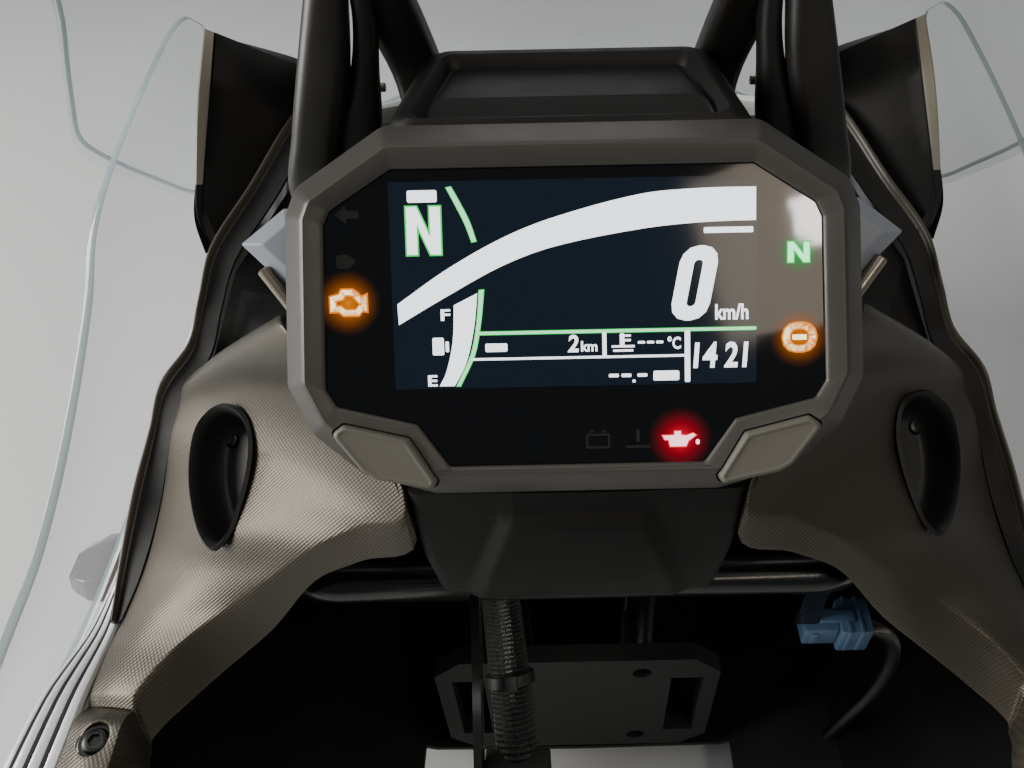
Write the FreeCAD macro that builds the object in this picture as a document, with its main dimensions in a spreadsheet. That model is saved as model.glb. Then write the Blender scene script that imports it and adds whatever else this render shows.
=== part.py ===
# Cockpit and front fairing module of an adventure motorcycle, in millimetres.
# +Y points forward along the motorcycle, +X to the rider's right, +Z up.
# The origin is the centre of the mounting plate that bolts to the steering head.
import FreeCAD, Part
import math
import os
import Sketcher
from FreeCAD import Placement, Rotation, Vector

os.makedirs("parts", exist_ok=True)
doc = FreeCAD.newDocument("cockpit_module")

X_AXIS = Vector(1, 0, 0)
Y_AXIS = Vector(0, 1, 0)
Z_AXIS = Vector(0, 0, 1)

# Driving dimensions: alias, value, note.
SIZES = (
    ("meter_forward", 10, "display centre, forward of the mounting plate"),
    ("meter_height", 240, "display centre, above the mounting plate"),
    ("meter_turn", 50, "turn of the display's frame about X, degrees"),
    ("bezel_back", -14, "rear face of the bezel, behind the display plane"),
    ("bezel_ridge", 4, "front ridge of the bezel"),
    ("bezel_bevel", 6.5, "sloping band from the ridge to the side"),
    ("window_seat", -1, "step in the bezel that the window rests on"),
    ("window_thickness", 2.5, "clear front window"),
    ("window_gap", 0.2, "play of the window in the bezel"),
    ("module_width", 104, "display module"),
    ("module_tall", 62, "display module"),
    ("module_front", -1.2, "front of the display module"),
    ("button_height", 5.4, "top of the two side buttons"),
    ("button_seat", -3, "floor of the button recess"),
    ("case_depth", 20, "rear case of the instrument"),
    ("plate_width", 124, "mounting plate"),
    ("plate_tall", 90, "mounting plate"),
    ("plate_thickness", 8, "mounting plate"),
    ("plate_corner", 12, "cut corners of the mounting plate"),
    ("slot_width", 14, "lightening slots of the mounting plate"),
    ("slot_tall", 56, "lightening slots of the mounting plate"),
    ("slot_across", 48, "lightening slots, from the centre line"),
    ("bolt_across", 56, "bolt spacing across"),
    ("bolt_up", 66, "bolt spacing up"),
    ("bolt_hole", 8.5, "bolt hole diameter"),
    ("tube_radius", 10, "main stay tubes"),
    ("bow_radius", 7, "bow tube round the steering stem"),
    ("hoop_radius", 7, "hoop that carries the instrument"),
    ("arm_radius", 6, "side arms to the cowls"),
    ("lug_thickness", 8, "pale lugs of the instrument's rubber mounts"),
    ("bracket_thickness", 3, "pressed carrier behind the instrument"),
    ("bracket_level", -46, "rear face of that carrier, in the display's frame"),
    ("boss_radius", 8, "rubber mounts between the carrier and the rear case"),
    ("knob_radius", 14, "hand knobs of the windscreen"),
    ("knob_depth", 17, "hand knobs of the windscreen"),
    ("knob_stem", 4, "stud radius of the hand knobs"),
    ("panel_wall", 3, "moulded panels and cowls"),
    ("trim_wall", 4, "rim trim"),
    ("screen_forward", 310, "foot of the windscreen on the centre line"),
    ("screen_foot", 166, "height of the foot of the windscreen"),
    ("screen_rake", 38, "lean of the windscreen from upright, degrees"),
    ("screen_radius", 290, "bend of the windscreen's outer face"),
    ("screen_wall", 4, "acrylic sheet"),
    ("rail_across", 64, "screen rail, from the centre line"),
    ("rail_width", 12, "screen rail"),
    ("rail_depth", 8, "screen rail"),
    ("rail_start", 165, "lower end of the rail along the screen"),
    ("rail_end", 292, "upper end of the rail along the screen"),
    ("rail_back", 24, "rail's front face behind the screen's foot plane"),
    ("shoe_start", 178, "lower end of the sliding shoe at rest"),
    ("shoe_length", 40, "sliding shoe"),
    ("shoe_play", 0.7, "play of the shoe on the rail"),
)

sheet = doc.addObject("Spreadsheet::Sheet", "Sizes")
for line, (alias, value, note) in enumerate(SIZES, 1):
    sheet.set("A%d" % line, note)
    sheet.set("B%d" % line, str(value))
    sheet.setAlias("B%d" % line, alias)
doc.recompute()


def size(alias):
    return float(sheet.get(alias))


FACE = Placement(Vector(0, size("meter_forward"), size("meter_height")), Rotation(X_AXIS, size("meter_turn")))
# Screen frame: local Y runs up the windscreen, local Z points back towards the rider.
SCREEN = Placement(
    Vector(0, size("screen_forward"), size("screen_foot")),
    Rotation(X_AXIS, 90 + size("screen_rake")),
)
SIDES = (("left", -1), ("right", 1))
made = {}


def add(label, shape):
    """Adds a finished shape to the document under its own label."""
    item = doc.addObject("Part::Feature", label)
    item.Label = label
    item.Shape = shape
    made[label] = item
    return item


def solid_object(kind, name, placement, expressions):
    """A primitive whose sizes are bound to the sheet."""
    item = doc.addObject(kind, name)
    for prop, expression in expressions.items():
        item.setExpression(prop, expression)
    item.Placement = placement
    doc.recompute()
    return item


def joined(label, *pieces):
    """One piece made of several document objects."""
    item = doc.addObject("Part::MultiFuse", label)
    item.Label = label
    item.Shapes = list(pieces)
    item.Refine = True
    doc.recompute()
    made[label] = item
    return item


def carved(label, base, carrier):
    """A piece cut to the face of the piece that carries it."""
    item = doc.addObject("Part::Cut", label)
    item.Label = label
    item.Base = base
    item.Tool = made[carrier]
    doc.recompute()
    made[label] = item
    return item


def biggest(shape):
    return max(shape.Solids, key=lambda solid: solid.Volume)


def mirrored(shape, side):
    return shape if side > 0 else shape.mirror(Vector(0, 0, 0), X_AXIS)


def fitted(shape, *carriers):
    """Cuts a shape where it meets its carriers, so that they touch face to face."""
    for carrier in carriers:
        shape = shape.cut(carrier)
    return biggest(shape)


def world(label):
    """The shape of a finished piece where it sits."""
    return made[label].Shape


def plate(rows, wall, inset=0.0):
    """A sheet whose outer face runs through rows of points, its wall on the inner side."""
    grid = [[Vector(*point) for point in row] for row in rows]
    down, across = len(grid), len(grid[0])
    normals = []
    for i in range(down):
        line = []
        for j in range(across):
            along = grid[min(i + 1, down - 1)][j] - grid[max(i - 1, 0)][j]
            over = grid[i][min(j + 1, across - 1)] - grid[i][max(j - 1, 0)]
            line.append(over.cross(along).normalize())
        normals.append(line)
    outer = [[grid[i][j] - normals[i][j] * inset for j in range(across)] for i in range(down)]
    inner = [[outer[i][j] - normals[i][j] * wall for j in range(across)] for i in range(down)]
    quads = []
    for i in range(down - 1):
        for j in range(across - 1):
            cell = ((i, j), (i + 1, j), (i + 1, j + 1), (i, j + 1))
            quads.append([outer[a][b] for a, b in cell])
            quads.append([inner[a][b] for a, b in reversed(cell)])
    border = [(i, 0) for i in range(down)]
    border += [(down - 1, j) for j in range(1, across)]
    border += [(i, across - 1) for i in range(down - 2, -1, -1)]
    border += [(0, j) for j in range(across - 2, 0, -1)]
    for (a, b), (c, d) in zip(border, border[1:] + border[:1]):
        quads.append([outer[c][d], outer[a][b], inner[a][b], inner[c][d]])
    faces = []
    for p, q, r, s in quads:
        faces.append(Part.Face(Part.makePolygon([p, q, r, p])))
        faces.append(Part.Face(Part.makePolygon([p, r, s, p])))
    shell = Part.makeShell(faces)
    shell.sewShape()
    solid = Part.Solid(shell)
    if solid.Volume < 0:
        solid.reverse()
    return solid.removeSplitter()


def prism(outline, low, high, placement=None):
    """A straight block over a flat outline in local X and Y."""
    points = [Vector(x, y, low) for x, y in outline]
    block = Part.Face(Part.makePolygon(points + points[:1])).extrude(Vector(0, 0, high - low))
    if placement is not None:
        block = block.transformGeometry(placement.toMatrix())
    return block


def box(low, high):
    return Part.makeBox(high[0] - low[0], high[1] - low[1], high[2] - low[2], Vector(*low))


def path(points, bend):
    """Straight runs joined by tangent arcs."""
    points = [Vector(*point) for point in points]
    edges = []
    start = points[0]
    for before, corner, after in zip(points, points[1:], points[2:]):
        into = corner - before
        out = after - corner
        half = into.getAngle(out) / 2
        radius = min(bend, 0.45 * min(into.Length, out.Length) / math.tan(half))
        reach = radius * math.tan(half)
        into.normalize()
        out.normalize()
        first = corner - into * reach
        last = corner + out * reach
        middle = corner + (out - into).normalize() * (radius / math.cos(half) - radius)
        edges.append(Part.LineSegment(start, first).toShape())
        edges.append(Part.Arc(first, middle, last).toShape())
        start = last
    edges.append(Part.LineSegment(start, points[-1]).toShape())
    return Part.Wire(edges)


def tube(points, radius, bend=40.0):
    wire = path(points, bend)
    first = Vector(*points[0])
    circle = Part.Wire([Part.makeCircle(radius, first, Vector(*points[1]) - first)])
    return wire.makePipeShell([circle], True, True)


def both_sides(half):
    """Closes a half outline, listed from the top down, across the centre line."""
    return [(x, y) for x, y in half] + [(-x, y) for x, y in reversed(half)]


def new_body(label, placement):
    body = doc.addObject("PartDesign::Body", label)
    body.Label = label
    body.Placement = placement
    made[label] = body
    return body


def empty_sketch(body, name, level):
    """A sketch on the body's own XY plane, moved to a level."""
    sketch = body.newObject("Sketcher::SketchObject", name)
    plane = [item for item in body.Origin.OriginFeatures if item.Role == "XY_Plane"][0]
    sketch.AttachmentSupport = [(plane, "")]
    sketch.MapMode = "FlatFace"
    sketch.AttachmentOffset = Placement(Vector(0, 0, level), Rotation())
    return sketch


def sketch_on(body, name, outline, level=0.0):
    """A closed sketch of straight lines."""
    sketch = empty_sketch(body, name, level)
    count = len(outline)
    corners = [Vector(x, y, 0) for x, y in outline]
    for index in range(count):
        sketch.addGeometry(Part.LineSegment(corners[index], corners[(index + 1) % count]), False)
    for index in range(count):
        sketch.addConstraint(Sketcher.Constraint("Coincident", index, 2, (index + 1) % count, 1))
    return sketch


def circle_sketch(body, name, spots, level, expression):
    """Circles whose radius is bound to the sheet."""
    sketch = empty_sketch(body, name, level)
    for index, (x, y) in enumerate(spots):
        sketch.addGeometry(Part.Circle(Vector(x, y, 0), Z_AXIS, 1.0 + index), False)
        number = sketch.addConstraint(Sketcher.Constraint("Radius", index, 1.0 + index))
        sketch.setExpression("Constraints[%d]" % number, expression)
    return sketch


def pad(body, name, outline, level, expression):
    feature = body.newObject("PartDesign::Pad", name)
    feature.Profile = sketch_on(body, name + "_outline", outline, level)
    feature.setExpression("Length", expression)
    doc.recompute()
    return feature


def pocket(body, name, outline, level, expression):
    """Cuts down from a level; the volume shows that it met the solid."""
    before = body.Shape.Volume
    feature = body.newObject("PartDesign::Pocket", name)
    feature.Profile = sketch_on(body, name + "_outline", outline, level)
    feature.setExpression("Length", expression)
    doc.recompute()
    if body.Shape.Volume >= before - 1:
        raise RuntimeError(name + " cuts nothing")
    return feature


def rectangle(width, tall, centre=(0.0, 0.0)):
    x, y = centre
    return [
        (x - width / 2, y - tall / 2),
        (x + width / 2, y - tall / 2),
        (x + width / 2, y + tall / 2),
        (x - width / 2, y + tall / 2),
    ]


# Instrument: half outlines in the display plane, x and up the face.
BEZEL_HALF = ((49.5, 42), (73, 26.5), (76, 19), (77.6, -26), (71.5, -39), (57.9, -50.5), (38.5, -56))
WINDOW_HALF = ((46.7, 30), (64.3, 18.7), (65.8, -26.5), (63, -31.1), (42, -36.2), (33.8, -47.6))
CASE_HALF = ((46, 38), (68, 24), (71, 17), (72, -25), (66, -37), (54, -47), (36, -52))
BUTTON = ((64.5, -38), (61, -35.5), (44.2, -39.6), (37, -51), (38.2, -53.3), (53, -50.3), (56.5, -48.4))


def grown(outline, amount):
    """Moves the corners of an outline away from its middle."""
    middle_x = sum(x for x, y in outline) / len(outline)
    middle_y = sum(y for x, y in outline) / len(outline)
    moved = []
    for x, y in outline:
        length = math.hypot(x - middle_x, y - middle_y)
        scale = 1 + amount / length
        moved.append((middle_x + (x - middle_x) * scale, middle_y + (y - middle_y) * scale))
    return moved


def make_bezel():
    body = new_body("meter_bezel", FACE)
    block = pad(
        body, "bezel_block", both_sides(BEZEL_HALF), size("bezel_back"),
        "Sizes.bezel_ridge - Sizes.bezel_back",
    )
    front = [
        "Edge%d" % number
        for number, edge in enumerate(block.Shape.Edges, 1)
        if all(abs(vertex.Z - size("bezel_ridge")) < 0.01 for vertex in edge.Vertexes)
    ]
    bevel = body.newObject("PartDesign::Chamfer", "bezel_slope")
    bevel.Base = (block, front)
    bevel.setExpression("Size", "Sizes.bezel_bevel")
    doc.recompute()
    pocket(
        body, "window_opening", both_sides(WINDOW_HALF), size("bezel_ridge"),
        "Sizes.bezel_ridge - Sizes.window_seat",
    )
    pocket(
        body, "module_opening", rectangle(size("module_width") + 0.4, size("module_tall") + 0.4),
        size("window_seat"), "Sizes.window_seat - Sizes.bezel_back",
    )
    for name, side in SIDES:
        outline = [(side * x, y) for x, y in grown(BUTTON, 0.4)]
        pocket(
            body, "button_recess_" + name, outline, size("bezel_ridge"),
            "Sizes.bezel_ridge - Sizes.button_seat",
        )
    return body


def make_window():
    body = new_body("meter_window", FACE)
    outline = [(x * (1 - size("window_gap") / 60), y * (1 - size("window_gap") / 40)) for x, y in WINDOW_HALF]
    pad(body, "window_sheet", both_sides(outline), size("window_seat"), "Sizes.window_thickness")
    return body


def make_module():
    body = new_body("display_module", FACE)
    outline = rectangle(size("module_width"), size("module_tall"))
    pad(body, "module_block", outline, size("bezel_back"), "Sizes.module_front - Sizes.bezel_back")
    return body


def make_case():
    body = new_body("meter_rear_case", FACE)
    rear = size("bezel_back") - size("case_depth")
    pad(body, "case_block", both_sides(CASE_HALF), rear, "Sizes.case_depth")
    return body


def make_buttons():
    for name, side in SIDES:
        body = new_body("meter_button_" + name, FACE)
        outline = [(side * x, y) for x, y in BUTTON]
        pad(
            body, "button_block_" + name, outline, size("button_seat"),
            "Sizes.button_height - Sizes.button_seat",
        )


make_bezel()
make_window()
make_module()
make_case()
make_buttons()

# Welded stay: the bolted plate, two main tubes, cross tubes, bow, hoop and side arms.
MAIN_RUN = ((24, 4, 14), (30, 44, 28), (62, 118, 58), (64, 200, 62), (44, 246, 62))
FRONT_CROSS = ((-46, 243, 62), (46, 243, 62))
MIDDLE_CROSS = ((-60, 122, 59), (60, 122, 59))
BOW_RUN = (
    (-62, 118, 60), (-98, 68, 78), (-106, 12, 102), (-94, 0, 111),
    (94, 0, 111), (106, 12, 102), (98, 68, 78), (62, 118, 60),
)
HOOP_RUN = (
    (-45, 84, 44), (-52, 64, 84), (-53, 42, 150), (-50, 30, 188),
    (50, 30, 188), (53, 42, 150), (52, 64, 84), (45, 84, 44),
)
SIDE_ARM = ((62, 120, 60), (110, 116, 52), (178, 110, 45))
LAMP_ARM = ((64, 196, 62), (100, 196, 80), (148, 196, 92))
GUSSET_ACROSS = 18
GUSSET = ((2, -50), (36, -50), (36, -38), (24, 6), (2, 6))
# Flat strip beside the loom that holds its lower plug: y and z.
LOOM_STRIP = ((-4, 120), (-4, 106), (-62, 48), (-62, 62))
LOOM_STRIP_ACROSS = -38
# Tab under the bow tube that holds the side connector.
SIDE_TAB = ((88, 3, 68), (97, 6, 108))


def make_mounting_plate():
    """The plate on the steering head, with four bolt holes and two slots; local Y points up."""
    body = new_body("mounting_plate", Placement(Vector(0, 0, 0), Rotation(X_AXIS, 90)))
    half, top, corner = size("plate_width") / 2, size("plate_tall") / 2, size("plate_corner")
    outline = []
    for x, y in ((1, -1), (1, 1), (-1, 1), (-1, -1)):
        near_side = (x * half, y * (top - corner))
        near_top = (x * (half - corner), y * top)
        outline += [near_top, near_side] if x * y < 0 else [near_side, near_top]
    pad(body, "plate_block", outline, -size("plate_thickness"), "Sizes.plate_thickness")
    for name, side in SIDES:
        slot = rectangle(size("slot_width"), size("slot_tall"), (side * size("slot_across"), 0))
        pocket(body, "plate_slot_" + name, slot, 0.0, "Sizes.plate_thickness")
    across, up = size("bolt_across") / 2, size("bolt_up") / 2
    spots = [(x, y) for x in (-across, across) for y in (-up, up)]
    holes = body.newObject("PartDesign::Pocket", "bolt_holes")
    holes.Profile = circle_sketch(body, "bolt_circles", spots, 0.0, "Sizes.bolt_hole / 2")
    holes.setExpression("Length", "Sizes.plate_thickness")
    doc.recompute()
    return made.pop("mounting_plate").Shape


def flat_strip(outline, x_low, x_high):
    """A flat plate in a Y and Z plane."""
    corners = [Vector(x_low, y, z) for y, z in outline]
    return Part.Face(Part.makePolygon(corners + corners[:1])).extrude(Vector(x_high - x_low, 0, 0))


def make_stay():
    members = []
    for name, side in SIDES:
        run = [(side * x, y, z) for x, y, z in MAIN_RUN]
        members.append(tube(run, size("tube_radius"), 60))
        members.append(tube([(side * x, y, z) for x, y, z in SIDE_ARM], size("arm_radius")))
        members.append(tube([(side * x, y, z) for x, y, z in LAMP_ARM], size("arm_radius")))
        members.append(flat_strip(GUSSET, side * GUSSET_ACROSS - 3, side * GUSSET_ACROSS + 3))
    for ends, radius in ((FRONT_CROSS, "bow_radius"), (MIDDLE_CROSS, "tube_radius")):
        low, high = Vector(*ends[0]), Vector(*ends[1])
        members.append(Part.makeCylinder(size(radius), (high - low).Length, low, high - low))
    members.append(tube(BOW_RUN, size("bow_radius"), 30))
    members.append(flat_strip(LOOM_STRIP, LOOM_STRIP_ACROSS, LOOM_STRIP_ACROSS + 3))
    members.append(box(*SIDE_TAB))
    plate_shape = make_mounting_plate()
    frame = plate_shape
    for member in members:
        frame = frame.fuse(member)
    # The tubes stop at the rear face of the plate, and leave its bolt holes open.
    frame = frame.cut(box((-70, -30, -60), (70, 0, 47)))
    across, up = size("bolt_across") / 2, size("bolt_up") / 2
    for x in (-across, across):
        for z in (-up, up):
            wrench_room = Part.makeCylinder(size("bolt_hole") / 2, 12, Vector(x, -1, z), Y_AXIS)
            frame = frame.cut(wrench_room)
    add("stay_frame", biggest(frame))


def make_hoop():
    """The bent tube that carries the instrument stands on the two main tubes."""
    add("instrument_hoop", fitted(tube(HOOP_RUN, size("hoop_radius"), 30), world("stay_frame")))


def welded():
    """The stay and its hoop."""
    return world("stay_frame"), world("instrument_hoop")


make_stay()
make_hoop()

# Instrument carrier behind the rear case, in the display's frame.
BRACKET_OUTLINE = rectangle(124, 58, (0, -5))
BRACKET_WINDOW = rectangle(52, 18, (0, 8))
BRACKET_BOSSES = ((-45, 12), (45, 12), (0, -14))
LUG_OUTLINE = ((66, 24), (84, 24), (97, 14), (84, 1), (66, -2))
LUG_LEVEL = -31


def make_bracket():
    level = size("bracket_level")
    body = new_body("bracket_blank", FACE)
    pad(body, "bracket_sheet", BRACKET_OUTLINE, level, "Sizes.bracket_thickness")
    pocket(
        body, "bracket_window", BRACKET_WINDOW, level + size("bracket_thickness"),
        "Sizes.bracket_thickness",
    )
    bosses = body.newObject("PartDesign::Pad", "bracket_bosses")
    bosses.Profile = circle_sketch(body, "boss_circles", BRACKET_BOSSES, level, "Sizes.boss_radius")
    bosses.setExpression("Length", "Sizes.bezel_back - Sizes.case_depth - Sizes.bracket_level")
    doc.recompute()
    carved("bracket_on_stay", made.pop("bracket_blank"), "stay_frame")
    carved("meter_bracket", made.pop("bracket_on_stay"), "instrument_hoop")


def make_ears():
    """Pale wedges that show beside the bezel: the lugs of the rubber mounts."""
    for name, side in SIDES:
        body = new_body("lug_blank_" + name, FACE)
        outline = [(side * x, y) for x, y in LUG_OUTLINE]
        pad(body, "lug_block_" + name, outline, LUG_LEVEL, "Sizes.lug_thickness")
        carved("meter_lug_" + name, made.pop("lug_blank_" + name), "meter_rear_case")


make_bracket()
make_ears()

# Hood behind the instrument: levels from the top down with near and far edges.
# Columns: height, half width near, near y, half width far, far y.
HOOD_LEVELS = ((262.5, 49, 57, 41, 101), (256, 55, 53, 47, 108), (236, 62, 58, 56, 114))


def hood_loft(shrink):
    wires = []
    for z, near_x, near_y, far_x, far_y in HOOD_LEVELS:
        corners = [
            Vector(-near_x + shrink, near_y + shrink, z - shrink),
            Vector(near_x - shrink, near_y + shrink, z - shrink),
            Vector(far_x - shrink, far_y - shrink, z - shrink),
            Vector(-far_x + shrink, far_y - shrink, z - shrink),
        ]
        wires.append(Part.makePolygon(corners + corners[:1]))
    return Part.makeLoft(wires, True, True)


def make_hood():
    wall = size("panel_wall")
    shell = hood_loft(0).cut(hood_loft(wall))
    # Lower skirt that reaches down to the dash.
    skirt = prism([(-50, 96), (50, 96), (46, 114), (-46, 114)], 150, 238)
    skirt = skirt.cut(prism([(-47, 99), (47, 99), (43, 111), (-43, 111)], 149, 239))
    shell = shell.fuse(skirt)
    add("meter_hood", fitted(shell, world("meter_rear_case"), world("meter_bracket")))


make_hood()

# Lower cover under the instrument: levels from the top down.
# Columns: height, half width, front y of the sides, half width of the raised middle, front y of the middle.
COVER_LEVELS = (
    (176, 50, -8, 19, -8.5), (169, 49, -10, 19, -14.5), (139, 43.5, -19, 27, -23.5), (132, 41, -14, 26, -16),
)
COVER_DEPTH = 30


def cover_loft(shrink):
    wires = []
    for z, half, y, mid_half, mid_y in COVER_LEVELS:
        half -= shrink
        mid_half -= shrink * 0.5
        corners = [
            Vector(-half, COVER_DEPTH, z),
            Vector(-half, y + shrink, z),
            Vector(-mid_half - 4, y + shrink, z),
            Vector(-mid_half, mid_y + shrink, z),
            Vector(mid_half, mid_y + shrink, z),
            Vector(mid_half + 4, y + shrink, z),
            Vector(half, y + shrink, z),
            Vector(half, COVER_DEPTH, z),
        ]
        wires.append(Part.makePolygon(corners + corners[:1]))
    return Part.makeLoft(wires, True, True)


def make_lower_cover():
    wall = size("panel_wall")
    core = cover_loft(wall).cut(box((-60, -40, 130), (60, 60, 132 + wall)))
    core = core.fuse(box((-38, -6, 120), (38, 40, 177)))
    shell = cover_loft(0).cut(core)
    add("lower_cover", fitted(shell, *welded(), world("meter_rear_case"), world("meter_bezel")))


make_lower_cover()

# Inner panel, right side, from the top beside the instrument to the lower end.
# Columns: foot of the side wall, ridge, middle, outer edge.
PANEL_ROWS = (
    ((86, 50, 188), (94, 55, 195), (124, 72, 166), (148, 80, 146)),
    ((82, 31, 198), (90.5, 34, 207), (125, 54, 175), (152, 68, 148)),
    ((66, 13, 180), (69, 15, 190), (113, 44, 168), (155, 64, 141)),
    ((50, -14, 159), (51.4, -12, 173), (103, 24, 157), (158, 55, 134)),
    ((70, -13, 146), (69, -9, 159.5), (109, 13, 147), (162, 42, 118)),
    ((88, -12, 133), (86, -9, 148), (120, 6, 136), (164.5, 28, 108)),
    ((108, -16, 108), (104, -10, 132), (134, 2, 120), (167, 14, 101)),
    ((125, -24, 96), (123, -12, 116), (148, -7, 108), (171, -3, 95)),
    ((140, -34, 88), (140, -20, 107), (158, -17, 101), (174, -14, 92)),
    ((149.5, -44, 84.6), (152.5, -35, 101), (163.5, -32.5, 97.5), (174.5, -30, 91.5)),
)
RECESS = (
    (140, 35), (137, 42.5), (128, 45), (118.5, 39), (114, 28),
    (115, 14), (119, 5), (126, 0.8), (133, 7), (138, 19),
)
RECESS_DEPTH = 17.0
# The recess is cut along the panel's own normal there.
RECESS_NORMAL = Vector(0.34, -0.494, 0.80)


def recess_prism(scale, low, high):
    """A block over the teardrop outline, from low to high along the panel's normal."""
    normal = Vector(RECESS_NORMAL).normalize()
    middle = Vector(127, 24, 0)
    points = []
    for x, y in RECESS:
        x = middle.x + (x - middle.x) * scale
        y = middle.y + (y - middle.y) * scale
        points.append(Vector(x, y, 150 - ((x - 126) * normal.x + (y - 26) * normal.y) / normal.z))
    face = Part.Face(Part.makePolygon(points + points[:1]))
    face.translate(normal * low)
    return face.extrude(normal * (high - low))


def make_inner_panels():
    wall = size("panel_wall")
    panel = plate(PANEL_ROWS, wall)
    cup = recess_prism(1.12, -RECESS_DEPTH - wall, -1).cut(recess_prism(1.0, -RECESS_DEPTH, 20))
    panel = panel.cut(recess_prism(1.0, -30, 20)).fuse(cup)
    panel = fitted(panel, world("lower_cover"), *welded(), world("meter_rear_case"), world("meter_bezel"))
    for name, side in SIDES:
        add("inner_panel_" + name, mirrored(panel, side))


make_inner_panels()

# Lower end block of the panel, from the panel's last row to its tip.
END_ROWS = (
    ((149, -43.5, 84), (152.5, -35.5, 101.5), (163.5, -33, 98.5), (175, -31, 92)),
    ((146, -54, 84), (154.5, -51, 98.5), (165, -49.5, 97), (176, -48, 91)),
    ((143, -72, 82), (154, -75, 95), (165, -73, 93), (176, -71, 88)),
    ((145, -82, 66), (154, -86, 70), (164, -84, 70), (174, -80, 68)),
)
END_BOLT = (164.5, -50, 97)


def make_panel_ends():
    block = plate(END_ROWS, 4)
    spot = Vector(*END_BOLT)
    block = block.cut(Part.makeCylinder(3.3, 40, spot - Vector(0, 0, 20), Z_AXIS))
    block = fitted(block, world("inner_panel_right"))
    for name, side in SIDES:
        add("panel_end_" + name, mirrored(block, side))


make_panel_ends()

# Rim trim: from the front to the rear. Columns: inner edge, outer edge.
TRIM_ROWS = (
    ((102, 186, 205), (111, 190, 206.5)),
    ((109, 160, 201), (119, 166, 204)),
    ((121, 132, 189), (131, 136, 192)),
    ((134, 109, 177), (143.5, 112, 180)),
    ((139, 93, 165), (147.5, 95, 167.5)),
    ((145, 83, 150), (154, 86, 152)),
    ((153, 67, 142), (163.5, 71, 144)),
    ((159, 56, 131), (168.5, 60, 131)),
    ((164, 36, 112), (174, 40, 116)),
    ((167.5, 12, 101), (177.5, 14, 98.5)),
    ((171, -4, 96), (175.5, -4, 93)),
)

# Side cowl, right side. Columns: y, then x and z of rim, shoulder, side and bottom.
COWL_ROWS = (
    (-78, 177, 86, 199, 84, 211, 60, 206, 12),
    (-33, 176, 89.5, 193, 88, 206, 62, 203, 8),
    (-2, 176, 91, 187, 86, 201, 60, 200, 2),
    (34, 173, 112, 179, 100, 195, 66, 197, -4),
    (60, 168, 129, 173, 118, 190, 74, 193, -10),
    (81, 156, 150, 166, 136, 185, 80, 188, -14),
    (112, 143.5, 178, 152, 160, 178, 90, 180, -20),
    (156, 120, 202, 132, 184, 164, 98, 164, -28),
    (190, 112, 196, 130, 170, 158, 85, 152, -34),
)


def cowl_rows():
    rows = []
    for y, rim_x, rim_z, shoulder_x, shoulder_z, side_x, side_z, low_x, low_z in COWL_ROWS:
        rows.append(((rim_x, y, rim_z), (shoulder_x, y, shoulder_z), (side_x, y, side_z), (low_x, y, low_z)))
    return rows


def make_cowls():
    wall = size("panel_wall")
    cowl = plate(cowl_rows(), wall)
    cowl = fitted(cowl, world("stay_frame"), world("inner_panel_right"), world("panel_end_right"))
    trim = fitted(plate(TRIM_ROWS, size("trim_wall")), cowl, world("inner_panel_right"))
    for name, side in SIDES:
        add("side_cowl_" + name, mirrored(cowl, side))
        add("rim_trim_" + name, mirrored(trim, side))


make_cowls()

# Nose cowl from the top down, right half. Columns: centre, corner, side.
NOSE_ROWS = (
    ((0, 274, 170), (60, 255, 174), (112, 191, 195)),
    ((0, 306, 146), (66, 284, 149), (134, 191, 152)),
    ((0, 326, 112), (62, 306, 118), (150, 191, 112)),
    ((0, 343, 60), (45, 328, 62), (158, 191, 60)),
    ((0, 352, 30), (32, 338, 28), (156, 191, 10)),
    ((0, 318, -20), (28, 300, -24), (152, 191, -34)),
    ((0, 262, -66), (20, 250, -68), (84, 191, -72)),
)
LAMP_OUTLINE = ((26, 70), (34, 104), (112, 126), (134, 104), (118, 72), (60, 58))


def nose_skin(wall, inset=0.0):
    """The right half of the nose, a wall thick, inset from its outer face."""
    skin = plate(NOSE_ROWS, wall, inset)
    return skin.common(box((0, 100, -100), (200, 400, 220)))


def lamp_prism(grow=0.0):
    points = [Vector(x, 150, z) for x, z in grown(LAMP_OUTLINE, grow)]
    return Part.Face(Part.makePolygon(points + points[:1])).extrude(Vector(0, 260, 0))


def make_nose():
    half = nose_skin(size("panel_wall")).cut(lamp_prism(0.6))
    nose = half.fuse(mirrored(half, -1)).removeSplitter()
    nose = fitted(nose, world("stay_frame"), world("side_cowl_left"), world("side_cowl_right"))
    add("nose_cowl", nose)
    lens = fitted(nose_skin(3, 2).common(lamp_prism()), nose)
    housing = fitted(nose_skin(42, 5.2).common(lamp_prism(-1.5)), world("stay_frame"), nose, lens)
    for name, side in SIDES:
        add("headlamp_lens_" + name, mirrored(lens, side))
        add("headlamp_" + name, mirrored(housing, side))


make_nose()

# Deflector bracket: columns are inner edge and outer edge, from the top down.
WING_ROWS = (
    ((110, 172, 227), (146, 179, 240)),
    ((110, 164, 209), (149, 158, 221)),
    ((126, 139, 193), (151, 130, 198)),
    ((138, 117, 182), (147, 110, 183)),
)
# Side deflector, from the front to the rear: y, then x and z of its free edge and its fixed edge.
DEFLECTOR_ROWS = (
    (178, 152, 244, 142, 152),
    (166, 161, 235, 147, 148),
    (136, 178, 208, 161, 132),
    (110, 184, 190, 172, 116),
    (90, 186, 171, 180, 104),
    (48, 191, 140, 190, 84),
    (12, 196, 118, 199, 68),
    (-15, 199, 109, 205, 62),
    (-52, 203, 98, 211, 58),
)


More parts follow.
